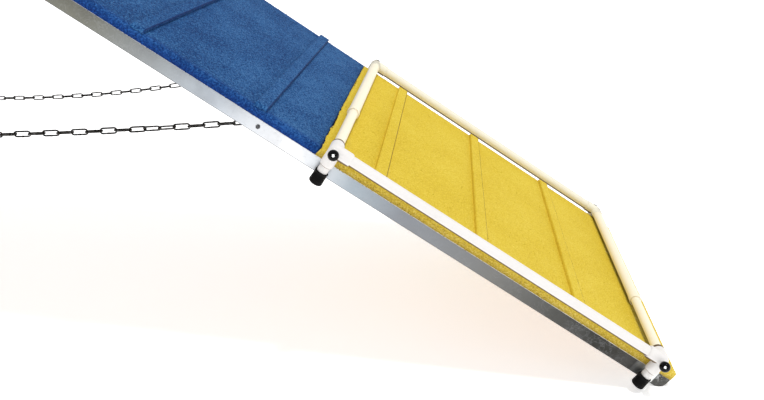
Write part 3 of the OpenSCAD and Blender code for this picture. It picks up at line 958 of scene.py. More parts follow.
@dataclass(frozen=True)
class Plastic(Finish):
    """Moulded plastic or rubber with handling marks and a faint skin texture; pipes also get painted shade on
    their undersides, a painted dark outline at glancing angles and a dark line at their seams.
    """

    name: str
    colour: Colour
    grime: Colour
    roughness: float
    grime_amount: float = 0.25
    scuff: Colour = (0.5, 0.5, 0.5, 1.0)
    scuff_amount: float = 0.15
    skin_scale: float = 380.0
    skin: float = 0.0001
    specular: float = 0.5
    underside: Optional[Colour] = None
    rim: float = 0.0

    def lay(self, paint: Paint) -> None:
        """Lays the finish on a material.

        Args:
            paint: The material's nodes.
        """
        soiled = paint.soil(22.0, self.colour, self.grime, self.grime_amount)
        scuffs = paint.scuffs(60.0, 0.025, self.scuff_amount)
        colour = paint.mix(scuffs, soiled.outputs["Colour"], self.scuff)
        # Painted shade on the undersides that face away from the deck, a painted dark outline at glancing
        # angles as strong as rim, and a dark line on the seam mark, all in one colour.
        if self.underside:
            normal = paint.add("ShaderNodeNewGeometry").outputs["Normal"]
            facing = paint.add("ShaderNodeVectorMath", {0: normal, 1: DECK_NORMAL}, operation="DOT_PRODUCT")
            below = paint.fit(facing.outputs["Value"], -0.47, -0.62)
            glance = paint.add("ShaderNodeLayerWeight", {"Blend": 0.5}).outputs["Facing"]
            outline = paint.fit(glance, 0.6, 0.9, 0.0, self.rim)
            dark = paint.sum("MAXIMUM", paint.sum("MAXIMUM", below, outline), paint.mark("seam"))
            colour = paint.mix(dark, colour, self.underside)
        paint.wire("Base Color", colour)
        worn = paint.sum("ADD", self.roughness, paint.times(soiled.outputs["Mask"], 0.3))
        paint.wire("Roughness", paint.sum("ADD", worn, paint.times(scuffs, 0.3)))
        paint.wire("Specular IOR Level", self.specular)
        paint.bump(paint.noise(paint.place, self.skin_scale, 2.0), self.skin)


@dataclass(frozen=True)
class Plywood(Finish):
    """Exterior plywood with long grain, dark pores and soil."""

    name: str
    turn: float
    pale: Colour = srgb(206, 172, 126)
    brown: Colour = srgb(150, 108, 66)
    pore: Colour = srgb(120, 82, 48)
    roughness: float = 0.7
    relief: float = 0.0006

    def lay(self, paint: Paint) -> None:
        """Lays the finish on a material.

        Args:
            paint: The material's nodes.
        """
        along = paint.stretched((2.2, 38.0, 38.0), self.turn)
        grain = paint.noise(along, 1.0, 6.0, Distortion=0.6)
        pores = paint.noise(along, 9.0, 3.0)
        wood = paint.mix(paint.fit(grain, 0.35, 0.68), self.pale, self.brown)
        streaked = paint.mix(paint.fit(pores, 0.58, 0.72, 0.0, 0.5), wood, self.pore)
        paint.wire("Base Color", paint.soil(6.0, streaked, srgb(110, 98, 80), 0.45).outputs["Colour"])
        paint.wire("Roughness", self.roughness)
        paint.bump(paint.sum("ADD", grain, pores), self.relief)


@dataclass(frozen=True)
class FloorPaint(Finish):
    """Pale matt studio floor."""

    name: str = "pale_floor"
    pale: Colour = (0.97, 0.97, 0.97, 1.0)
    shade: Colour = (0.95, 0.95, 0.953, 1.0)
    glow: float = 0.55

    def lay(self, paint: Paint) -> None:
        """Lays the finish on a material.

        Args:
            paint: The material's nodes.
        """
        clouds = paint.noise(paint.place, 1.5, 3.0)
        paint.wire("Base Color", paint.mix(clouds, self.pale, self.shade))
        paint.wire("Roughness", 0.9)
        paint.wire("Emission Color", self.pale)
        paint.wire("Emission Strength", self.glow)
        paint.wire("Specular IOR Level", 0.1)


class Finishes:
    """Every finish of the object, made once."""

    def __init__(self, effects: Effects) -> None:
        """Makes the finishes.

        Args:
            effects: The shared effects.
        """
        blue = CrumbRubber(
            name="blue_crumb_rubber",
            top=(srgb(14, 54, 106), srgb(28, 80, 136), srgb(62, 111, 163)),
            edge=(srgb(5, 34, 92), srgb(10, 56, 128), srgb(26, 88, 176)),
            crease=srgb(10, 38, 92),
            contrast=2.1,
            edge_contrast=1.1,
        )
        yellow = CrumbRubber(
            name="yellow_crumb_rubber",
            top=(srgb(209, 177, 46), srgb(223, 194, 56), srgb(232, 209, 84)),
            edge=(srgb(164, 134, 46), srgb(212, 184, 68), srgb(236, 216, 132)),
            crease=srgb(96, 66, 20),
            contrast=1.2,
            edge_contrast=0.9,
        )
        self.rubber = {"blue": blue.paint(effects), "yellow": yellow.paint(effects)}
        self.aluminium = RailAluminium("rail_aluminium").paint(effects)
        foot = Metal("foot_metal", srgb(88, 88, 86), srgb(36, 36, 34), 0.26, 0.9, 1.0)
        self.foot_metal = foot.paint(effects)
        self.hinge_steel = Metal("hinge_steel", srgb(150, 150, 150), srgb(96, 92, 86), 0.38).paint(effects)
        self.fastener_steel = Metal("fastener_steel", srgb(82, 82, 84), srgb(40, 39, 37), 0.22).paint(effects)
        self.chain_steel = Metal("chain_steel", srgb(36, 35, 32), srgb(17, 16, 14), 0.24).paint(effects)
        self.weld_metal = Metal("weld_metal", srgb(168, 168, 166), srgb(96, 94, 90), 0.42).paint(effects)
        # Colour of the pipes' painted shade and their seam lines.
        underside = srgb(92, 66, 30)
        pipe = {"roughness": 0.42, "scuff": srgb(214, 204, 186), "specular": 0.25, "underside": underside}
        # The pipes are one PVC in three tones matched to how light falls on them: neutral white for the near
        # pieces and legs, warm ivory for the bars, cream for the far pieces. The difference between them is
        # painted light.
        ivory = Plastic("ivory_pipe", srgb(255, 246, 222), srgb(247, 233, 204), **pipe)
        self.ivory_pipe = ivory.paint(effects)
        white = Plastic("white_pipe", srgb(238, 235, 233), srgb(222, 216, 206), **pipe)
        self.white_pipe = white.paint(effects)
        cream = Plastic("cream_pipe", srgb(245, 241, 223), srgb(236, 227, 204), rim=0.5, **pipe)
        self.cream_pipe = cream.paint(effects)
        self.plug = Plastic("plug_plastic", srgb(86, 86, 84), srgb(58, 56, 52), 0.5).paint(effects)
        cap = {"scuff": srgb(56, 54, 52), "skin": 0.0002, "specular": 0.1}
        self.cap_rubber = Plastic("cap_rubber", srgb(5, 5, 5), srgb(14, 14, 13), 0.5, **cap).paint(effects)
        polish = {"grime_amount": 0.1, "scuff": srgb(30, 30, 32), "specular": 0.12}
        knob = Plastic("knob_plastic", srgb(4, 4, 5), srgb(9, 9, 10), 0.03, **polish)
        self.knob_plastic = knob.paint(effects)
        self.plywood = {
            Side.RIGHT: Plywood("right_plywood", -SLOPE).paint(effects),
            Side.LEFT: Plywood("left_plywood", SLOPE).paint(effects),
        }
        self.floor = FloorPaint().paint(effects)


class Workshop:
    """The finishes and the Geometry Nodes trees that the sub-assemblies share."""

    def __init__(self) -> None:
        """Makes the finishes and the trees."""
        self.finishes = Finishes(Effects())
        self.shiny = bpy.data.collections.new("shiny_pieces")
        self.row = row_tree()
        self.crumbs = crumb_tree()
        self.links = chain_tree()
        self.fasteners = fastener_tree()
        self.weld = weld_tree()


# Sizes of the ramps


@dataclass(frozen=True)
class RampSizes:
    """Sizes of a ramp, along its slope from the ridge, across it, and square to the deck."""

    length: float = 2.748
    width: float = 0.914
    ridge_gap: float = 0.004
    board: float = 0.018
    coat: float = 0.005
    edge_coat: float = 0.004
    zone: float = 1.072
    corner: float = 0.006
    rail: float = 0.038
    rail_wall: float = 0.003
    rail_inset: float = 0.003
    foot_length: float = 0.036
    foot_round: float = 0.024
    foot_setback: float = 0.001
    sole_cut: float = 0.001

    # Sizes that follow from those above
    half: float = width / 2
    board_half: float = half - edge_coat
    board_end: float = length - edge_coat
    zone_start: float = length - zone
    rail_top: float = -coat - board
    rail_low: float = rail_top - rail
    rail_mid: float = rail_top - rail / 2
    rail_out: float = half - rail_inset
    rail_in: float = rail_out - rail
    foot_end: float = length - foot_setback
    rail_end: float = foot_end - foot_length

    @property
    def ridge_height(self) -> float:
        """Height of the ridge that puts the soles on the floor.

        Returns:
            The height above the floor.
        """
        middle_x = self.foot_end - self.foot_round
        middle_z = self.rail_low + self.foot_round
        drop = middle_x * math.sin(SLOPE) - middle_z * math.cos(SLOPE)
        return self.foot_round - self.sole_cut + drop

    def place(self, side: Side) -> Matrix:
        """The way from a ramp's own frame to the part's frame, mirrored for the left ramp."""
        right = Matrix.Translation((0, 0, self.ridge_height)) @ Matrix.Rotation(SLOPE, 4, "Y")
        return right if side is Side.RIGHT else Matrix.Scale(-1, 4, (1, 0, 0)) @ right

    def mitre(self, level: float) -> float:
        """Start of the ramp at the upright ridge joint, for a level square to the deck."""
        return (self.ridge_gap / 2 - level * math.sin(SLOPE)) / math.cos(SLOPE)


RAMP = RampSizes()


# Deck


@dataclass(frozen=True)
class SlatRow:
    """A row of slats: the first one's lower edge above the low end, the spacing and the count."""

    first: float
    pitch: float
    count: int


@dataclass
class Deck:
    """Board, crumb-rubber coats and slats of one ramp."""

    side: Side
    shop: Workshop
    top_round: float = 0.005
    lip_round: float = 0.0015
    step: float = 0.010
    proud: float = 0.0004
    lap: float = 0.006
    groove: float = 0.003
    groove_depth: float = 0.0022
    ragged: float = 0.0032
    slat_width: float = 0.034
    slat_height: float = 0.010
    slat_sink: float = 0.001
    slat_crease: float = 0.0022
    slat_round: float = 0.0036
    edge_fade: float = 0.020
    edge_share: float = 0.45
    slat_end: float = 0.011
    slat_step: float = 0.009
    yellow_slats: SlatRow = SlatRow(0.290, 0.303, 3)
    blue_slats: SlatRow = SlatRow(1.222, 0.326, 5)
    # Shares of painted shade: in the groove at the blue coat's end, along the coat's lower lip, and on the
    # slats, a painted shadow line on the lower arris with painted shade down the lower face and at the upper
    # foot.
    groove_shade: float = 0.8
    lip_shade: float = 0.4
    worn_arris: float = 0.75
    worn_side: float = 0.25
    worn_foot: float = 0.1
    torn: tuple[Pair, Pair] = ((45.0, 3.7), (160.0, 8.1))
    torn_fine_share: float = 0.8
    right_seed: int = 11
    left_seed: int = 47
    yellow_seed_step: int = 9
    slat_seed_step: int = 5
    relief: float = 0.0011
    relief_scale: float = 95.0
    crumb: float = 0.0036
    edge_crumbs: float = 40000.0
    top_crumbs: float = 2600.0

    def section(self, proud: float) -> tuple[list[Pair], int]:
        """Cross-section of a coat: outer skin first, then the hollow for the board.

        Args:
            proud: How far the coat stands out past its nominal faces.

        Returns:
            The points across and square to the deck, and how many of them are outer ones.
        """
        half = RAMP.half + proud
        corners = [(-half, RAMP.rail_top), (-half, proud), (half, proud), (half, RAMP.rail_top)]
        radii = [self.lip_round, self.top_round, self.top_round, self.lip_round]
        closed = divided(rounded(corners, radii), self.step)
        middle = RAMP.rail_top / 2
        last = max(number for number, point in enumerate(closed) if point[0] > 0 and point[1] < middle)
        while closed[last][1] > RAMP.rail_top:
            last += 1
        outer = closed[: last + 1]
        room = RAMP.board_half
        hollow = [(room, RAMP.rail_top), (room, -RAMP.coat), (-room, -RAMP.coat), (-room, RAMP.rail_top)]
        return outer + hollow, len(outer)

    def low_end_stations(self) -> list[float]:
        """Places along the round low end, closer together towards the end."""
        turns = (QUARTER_TURN * number / 8 for number in range(9))
        return [RAMP.length - RAMP.corner * (1 - math.sin(turn)) for turn in turns]

    def coat_mesh(self, start: float, end: float, low_end: bool) -> Mesh:
        """Builds a coat with its skirts.

        Args:
            start: Upper end along the slope.
            end: Lower end along the slope.
            low_end: Whether this coat wraps round the low end of the board.

        Returns:
            The mesh, in the ramp's frame.
        """
        proud = self.proud if low_end else 0.0
        section, outer_count = self.section(proud)
        straight_end = end - RAMP.corner if low_end else RAMP.zone_start - self.groove
        count = math.ceil((straight_end - start) / self.step)
        places = [start + (straight_end - start) * number / count for number in range(count + 1)]
        places += self.low_end_stations()[1:] if low_end else [straight_end + self.groove / 3, end]
        sketch = Sketch()
        loops = []
        for number, place in enumerate(places):
            if low_end and number and places[number - 1] <= RAMP.board_end < place:
                loops.append(self.coat_loop(sketch, section, outer_count, RAMP.board_end, low_end, False))
                loops.append(self.coat_loop(sketch, section, outer_count, RAMP.board_end, low_end, True))
            filled = low_end and place > RAMP.board_end
            loops.append(self.coat_loop(sketch, section, outer_count, place, low_end, filled, number == 0))
        sketch.skin(loops, Closing.CAPPED)
        return sketch.mesh("coat")

    def coat_loop(
        self,
        sketch: Sketch,
        section: Sequence[Pair],
        outer_count: int,
        place: float,
        low_end: bool,
        filled: bool,
        first: bool = False,
    ) -> list[int]:
        """Adds one loop of a coat.

        Args:
            sketch: The sketch that it is added to.
            section: The coat's cross-section.
            outer_count: How many of the section's points are outer ones.
            place: Where along the slope.
            low_end: Whether the coat wraps round the low end.
            filled: Whether the board's hollow has ended.
            first: Whether this is the coat's upper end.

        Returns:
            The numbers of the loop's points.
        """
        points = []
        outer = []
        strip = []
        crease = []
        sunk = self.groove_depth if not low_end and place > RAMP.zone_start - self.groove else 0.0
        past_round = max(0.0, place - (RAMP.length - RAMP.corner)) if low_end else 0.0
        narrowing = RAMP.corner - math.sqrt(max(0.0, RAMP.corner**2 - past_round**2))
        past_top = max(0.0, place - (RAMP.length - self.top_round)) if low_end else 0.0
        drop = self.top_round - math.sqrt(max(0.0, self.top_round**2 - past_top**2))
        for number, (across, level) in enumerate(section):
            showing = number < outer_count
            if showing:
                across *= (RAMP.half - narrowing - sunk) / RAMP.half
                level = min(level, -drop - sunk) if drop or sunk else level
            elif filled:
                level = RAMP.rail_top
                across = math.copysign(min(abs(across), RAMP.half - narrowing), across)
            along = place
            if first:
                along += self.torn_edge(across, level) if low_end else RAMP.mitre(level) - place
            points.append((along, across, level))
            outer.append(1.0 if showing and not sunk else 0.0)
            # The strip share grows towards the long edges, down the side faces and round the low end; the
            # finish gives it a darker palette as painted shade, and the crumb tree strews more crumbs there.
            beside = RAMP.half - abs(across)
            near_edge = max(0.0, 1 - max(0.0, beside - self.top_round) / self.edge_fade)
            down_edge = max(0.0, min(1.0, (level + self.top_round / 2) / (RAMP.rail_top + self.top_round)))
            worn = max(down_edge, float(past_top > 0))
            strip.append(self.edge_share * near_edge + (1 - self.edge_share) * worn)
            # The groove and the coat's lower lip get painted shade.
            at_lip = showing and level < RAMP.rail_top + self.lip_round
            crease.append(self.groove_shade if sunk else self.lip_shade if at_lip else 0.0)
        return sketch.loop(points, outer=outer, strip=strip, crease=crease)

    def torn_edge(self, across: float, level: float) -> float:
        """How far along the slope the ragged upper edge of the yellow coat strays at a place."""
        broad, fine = (noise.noise(Vector((across * rate, level * rate, seed))) for rate, seed in self.torn)
        return self.ragged * (broad + self.torn_fine_share * fine)

    def slat_shade(self, along: float, level: float) -> float:
        """How much painted shade a slat gets: a painted shadow line on its lower arris, less down its lower
        face, a little at its upper foot.

        Args:
            along: Place along the slope in the slat's section.
            level: Level above the deck.

        Returns:
            The share of the painted shade colour.
        """
        if along > self.slat_width - self.slat_round * 0.75:
            return self.worn_arris if level > self.slat_height - self.slat_round else self.worn_side
        return self.worn_foot if along < self.slat_round and level < self.slat_crease else 0.0

    def slat_mesh(self) -> Mesh:
        """One coated slat across the deck, its ends rounded down.

        Returns:
            The mesh, its upper edge at the origin along the slope.
        """
        wide = self.slat_width
        high = self.slat_height
        low = -self.slat_sink
        foot = self.slat_crease
        corners = [(wide, low), (wide, foot), (wide, high), (0.0, high), (0.0, foot), (0.0, low)]
        section = divided(rounded(corners, [0, 0, self.slat_round, self.slat_round, 0, 0]), self.slat_step)
        crease = [self.slat_shade(along, level) for along, level in section]
        straight = RAMP.half - self.slat_end
        count = math.ceil(2 * straight / self.slat_step)
        places = [(straight * (2 * number / count - 1), 1.0) for number in range(count + 1)]
        turns = [QUARTER_TURN * number / 5 for number in range(1, 6)]
        far = [(straight + self.slat_end * math.sin(turn), max(math.cos(turn), 0.12)) for turn in turns]
        near = [(-across, share) for across, share in reversed(far)]
        sketch = Sketch()
        loops = []
        for across, share in near + places + far:
            points = [(x, across, z * share if z > 0 else z) for x, z in section]
            marks = {"outer": [1.0] * len(points), "strip": [0.0] * len(points), "crease": crease}
            loops.append(sketch.loop(points, **marks))
        sketch.skin(loops, Closing.CAPPED)
        return sketch.mesh("slat")

    def crumbled(self, mesh: Mesh, material: Material, seed: int) -> Mesh:
        """Makes a rubber mesh uneven and crumbly, and moves it to its ramp.

        Args:
            mesh: The mesh, in the ramp's frame.
            material: Its finish.
            seed: Seed of the crumbs.

        Returns:
            The finished mesh.
        """
        relief = {"Relief": self.relief, "Relief_Scale": self.relief_scale}
        crumbs = {"Crumb_Size": self.crumb, "Edge_Crumbs": self.edge_crumbs, "Top_Crumbs": self.top_crumbs}
        grown = self.shop.crumbs.grow(mesh, material, **relief, **crumbs, Seed=seed)
        return settle(grown, RAMP.place(self.side))

    def row_of_slats(self, row: SlatRow, material: Material) -> Mesh:
        """Repeats the slat up the slope.

        Args:
            row: The places of the slats.
            material: Their finish.

        Returns:
            The mesh, in the ramp's frame.
        """
        start = RAMP.length - row.first - self.slat_width
        places = {"Start": (start, 0.0, 0.0), "Step": (-row.pitch, 0.0, 0.0)}
        return self.shop.row.grow(self.slat_mesh(), material, Count=row.count, **places)

    def build(self) -> None:
        """Builds and dresses the deck."""
        finishes = self.shop.finishes
        word = self.side.value
        paint_node(f"{word}_deck_board", finishes.plywood[self.side])
        paint_node(f"{word}_deck_screws", finishes.fastener_steel)
        seed = self.right_seed if self.side is Side.RIGHT else self.left_seed
        for colour, start, end, row in (
            ("blue", 0.0, RAMP.zone_start + self.lap, self.blue_slats),
            ("yellow", RAMP.zone_start, RAMP.length, self.yellow_slats),
        ):
            rubber = finishes.rubber[colour]
            low_end = colour == "yellow"
            draw = seed + self.yellow_seed_step * low_end
            meshes = {"coat": self.coat_mesh(start, end, low_end), "slats": self.row_of_slats(row, rubber)}
            for kind, mesh in meshes.items():
                node = f"{word}_{colour}_{kind}"
                dress = Dress(f"{word}_ramp", f"{colour}_rubber", (node,), rubber, math.pi)
                dress.put(f"{word}_{colour}_crumb_{kind}", self.crumbled(mesh, rubber, draw))
                draw += self.slat_seed_step


# Fasteners


@dataclass(frozen=True)
class HexFastener:
    """A hexagon bolt with its nut and washer, along Y, its head outwards at +Y."""

    thread: float
    head_face: float
    nut_face: float
    spacer: Optional[Pair] = None
    across_share: float = 1.6
    head_share: float = 0.65
    nut_share: float = 0.8
    washer_share: float = 2.1
    washer: float = 0.0016
    tail: float = 0.004
    pitch: float = 0.00125
    fit: float = 0.00025

    head_chamfer: float = 0.09
    nut_chamfer: float = 0.08
    washer_bevel: float = 0.0004
    spacer_bevel: float = 0.0005

    def hex_loops(self, sketch: Sketch, levels: Sequence[tuple[float, float]]) -> list[list[int]]:
        """Adds hexagon loops whose corners are cut back to a circle.

        Args:
            sketch: The sketch that they are added to.
            levels: Height and largest radius of each loop.

        Returns:
            The loops.
        """
        loops = []
        for level, most in levels:
            points = []
            for x, y in hexagon(self.thread * self.across_share):
                share = min(1.0, most / math.hypot(x, y))
                points.append(ALONG_Y @ Vector((x * share, y * share, level)))
            loops.append(sketch.loop(points))
        return loops

    def bolt_mesh(self) -> Mesh:
        """Bolt with a chamfered head and a threaded end.

        Returns:
            The mesh.
        """
        sketch = Sketch()
        flat = self.thread * self.across_share / 2
        full = flat / math.cos(math.pi / 6)
        top = self.head_face + self.thread * self.head_share
        chamfer = self.thread * self.head_chamfer
        levels = ((self.head_face, full), (top - chamfer, full), (top, flat * 0.98))
        sketch.skin(self.hex_loops(sketch, levels), Closing.CAPPED)
        end = self.nut_face - self.washer - self.thread * self.nut_share - self.tail
        radius = self.thread / 2
        profile = [(radius * 0.7, end), (radius * 0.86, end + self.pitch / 2)]
        level = end + self.pitch
        while level < self.nut_face:
            profile += [(radius, level), (radius * 0.86, level + self.pitch / 2)]
            level += self.pitch
        profile += [(radius, level), (radius, self.head_face + chamfer)]
        sketch.lathe(profile, ALONG_Y, Closing.CAPPED, 24)
        return sketch.mesh("hex_bolt")

    def nut_mesh(self) -> Mesh:
        """Chamfered nut and its washer, and the spacer where there is one.

        Returns:
            The mesh.
        """
        sketch = Sketch()
        flat = self.thread * self.across_share / 2
        full = flat / math.cos(math.pi / 6)
        chamfer = self.thread * self.nut_chamfer
        top = self.nut_face - self.washer
        low = top - self.thread * self.nut_share
        bore = self.thread / 2
        levels = [(low, flat * 0.96), (low + chamfer, full), (top - chamfer, full), (top, flat * 0.96)]
        loops = self.hex_loops(sketch, levels + [(top, bore), (low, bore)])
        sketch.skin(loops, Closing.RING)
        wide = self.thread * self.washer_share / 2
        disc = tube_profile(wide, bore + self.fit, top, self.nut_face, self.washer_bevel)
        sketch.lathe(disc, ALONG_Y, Closing.RING, 32)
        if self.spacer:
            sleeve = tube_profile(flat, bore + self.fit, *self.spacer, self.spacer_bevel)
            sketch.lathe(sleeve, ALONG_Y, Closing.RING, 32)
        return sketch.mesh("hex_nut")

    def put(self, shop: Workshop, side: Side, holes: Sequence[float], level: float, stem: str) -> None:
        """Puts a bolt and a nut in each hole of both rails.

        Args:
            shop: The shared trees and finishes.
            side: The ramp.
            holes: Places of the holes along the slope.
            level: Level of the holes.
            stem: Stem of the nodes' names, such as hinge or chain.
        """
        steel = shop.finishes.fastener_steel
        for kind, mesh in (("bolts", self.bolt_mesh()), ("nuts", self.nut_mesh())):
            master = add_object(f"{kind}_master", mesh)
            points = bpy.data.meshes.new("holes")
            points.from_pydata([(hole, 0.0, level) for hole in holes for _ in Edge], [], [])
            roll = [0.0 if edge is Edge.FAR else math.pi for _ in holes for edge in Edge]
            points.attributes.new("roll", "FLOAT", "POINT").data.foreach_set("value", roll)
            grown = shop.fasteners.grow(points, steel, Fastener=master)
            bpy.data.objects.remove(master)
            node = f"{side.value}_{stem}_{kind}"
            dress = Dress(f"{side.value}_ramp", "fastener_steel", (node,), steel, math.radians(30))
            dress.put(f"{side.value}_{stem}_hex_{kind}", settle(grown, RAMP.place(side)))


# Rails and cross members


@dataclass
class RailFrame:
    """Rails, cross members, their welds and the feet of one ramp."""

    side: Side
    shop: Workshop
    corner: float = 0.0022
    inner_corner: float = 0.0008
    cross_width: float = 0.040
    cross_height: float = 0.013
    cross_wall: float = 0.002
    cross_count: int = 5
    cross_first: float = 0.220
    cross_last: float = 0.110
    weld: float = 0.0021
    weld_step: float = 0.0022
    foot_bevel: float = 0.0012
    foot_shank: float = 0.032
    foot_fit: float = 0.0002

    cross_corner: float = 0.0015
    cross_inner_corner: float = 0.0005
    cross_pitch: float = (RAMP.length - cross_first - cross_last) / (cross_count - 1)
    foot_corner: float = 0.002
    weld_seed: int = 5

    def rail_mesh(self, edge: Edge) -> Mesh:
        """Square tube with round corners, cut upright at the ridge.

        Args:
            edge: The edge that the rail runs along.

        Returns:
            The mesh, in the ramp's frame.
        """
        walls = (RAMP.rail_in, RAMP.rail_out, RAMP.rail_low, RAMP.rail_top)
        outer = rounded(oblong(*walls), [self.corner] * 4, 5)
        inner = rounded(oblong(*walls, RAMP.rail_wall), [self.inner_corner] * 4, 5)
        # Weights across a corner's arc: rim places the painted highlight on the top outer corner, lower_rim
        # the painted shade on the lower outer corner, and along picks the colour from the painted reflection
        # ramp.
        plain = [0.0] * 6
        worn = [0.0, 0.8, 1.0, 1.0, 0.8, 0.0]
        marks = {"rim": plain * 2 + worn + plain, "lower_rim": plain + worn + plain * 2}
        sketch = Sketch()
        loops = []
        for points, at_ridge in ((outer, True), (outer, False), (inner, False), (inner, True)):
            row = []
            for across, level in points:
                along = RAMP.mitre(level) if at_ridge else RAMP.rail_end
                row.append((along, across * edge.value, level))
            loops.append(sketch.loop(row, along=[point[0] / RAMP.length for point in row], **marks))
        sketch.skin(loops, Closing.RING)
        return sketch.mesh("rail")

    def cross_mesh(self) -> Mesh:
        """One flat cross member between the rails.

        Returns:
            The mesh, in the ramp's frame.
        """
        wide = self.cross_width / 2
        walls = (-wide, wide, RAMP.rail_top - self.cross_height, RAMP.rail_top)
        outer = rounded(oblong(*walls), [self.cross_corner] * 4, 3)
        inner = rounded(oblong(*walls, self.cross_wall), [self.cross_inner_corner] * 4, 3)
        sketch = Sketch()
        loops = []
        for points, across in ((outer, -1), (outer, 1), (inner, 1), (inner, -1)):
            row = [(along, across * RAMP.rail_in, level) for along, level in points]
            # One place on the rail's colour ramp, next to its bright painted reflection.
            loops.append(sketch.loop(row, along=[0.6] * len(row)))
        sketch.skin(loops, Closing.RING)
        return sketch.mesh("cross_member")

    def weld_mesh(self) -> Mesh:
        """Lines along which the cross members are welded to the rails.

        Returns:
            The mesh, of edges only.
        """
        points: list[Vector] = []
        edges: list[tuple[int, int]] = []
        wide = self.cross_width / 2
        top = RAMP.rail_top
        low = top - self.cross_height
        for number in range(self.cross_count):
            middle = self.cross_first + number * self.cross_pitch
            for edge in Edge:
                first = len(points)
                across = edge.value * RAMP.rail_in
                for along, level in ((-wide, top), (-wide, low), (wide, low), (wide, top)):
                    points.append(Vector((middle + along, across, level)))
                edges += [(first + step, first + step + 1) for step in range(3)]
        mesh = bpy.data.meshes.new("weld_lines")
        mesh.from_pydata(points, edges, [])
        return mesh

    def foot_mesh(self, edge: Edge) -> Mesh:
        """Rounded foot with its shank in the rail, cut flat where it stands.

        Args:
            edge: The edge that the foot's rail runs along.

        Returns:
            The mesh, in the part's frame.
        """
        end, low_face, top = RAMP.rail_end, RAMP.rail_low, RAMP.rail_top
        corners = oblong(end, RAMP.foot_end, low_face, top)
        outline = rounded(corners, [0, RAMP.foot_round, self.foot_corner, 0], 18)
        sketch = Sketch()
        low, high = sorted((edge.value * RAMP.rail_in, edge.value * RAMP.rail_out))
        sketch.plate(outline, low, high, self.foot_bevel, UPRIGHT)
        room = RAMP.rail_wall + self.foot_fit
        shank = oblong(end - self.foot_shank, end + self.foot_bevel, low_face + room, top - room)
        outline = rounded(shank, [self.foot_corner, 0, 0, self.foot_corner])
        sketch.plate(outline, low + room, high - room, self.foot_bevel, UPRIGHT)
        mesh = settle(sketch.mesh("foot"), RAMP.place(self.side))
        for vertex in mesh.vertices:
            vertex.co.z = max(vertex.co.z, 0.0)
        return mesh

    def build(self) -> None:
        """Builds and dresses the rails, cross members and feet."""
        finishes = self.shop.finishes
        word = self.side.value
        body = f"{word}_ramp"
        place = RAMP.place(self.side)
        for edge in Edge:
            rail = Dress(body, "rail_aluminium", (f"{word}_{edge.word}_rail",), finishes.aluminium)
            rail.put(f"{word}_{edge.word}_rail_tube", settle(self.rail_mesh(edge), place))
            node = f"{word}_{edge.word}_foot"
            foot = Dress(body, "foot_metal", (node,), finishes.foot_metal, math.radians(30))
            foot.put(f"{word}_{edge.word}_round_foot", self.foot_mesh(edge))
        row = {"Start": (self.cross_first, 0.0, 0.0), "Step": (self.cross_pitch, 0.0, 0.0)}
        members = self.shop.row.grow(self.cross_mesh(), finishes.aluminium, Count=self.cross_count, **row)
        cross = Dress(body, "rail_aluminium", (f"{word}_cross_members",), finishes.aluminium)
        cross.put(f"{word}_cross_tubes", settle(members, place))
        ripples = {"Spacing": self.weld_step, "Radius": self.weld, "Seed": self.weld_seed}
        seams = self.shop.weld.grow(self.weld_mesh(), finishes.weld_metal, **ripples)
        weld = Dress(body, "rail_aluminium", (), finishes.weld_metal)
        weld.put(f"{word}_cross_welds", settle(seams, place))


# Ridge hinge


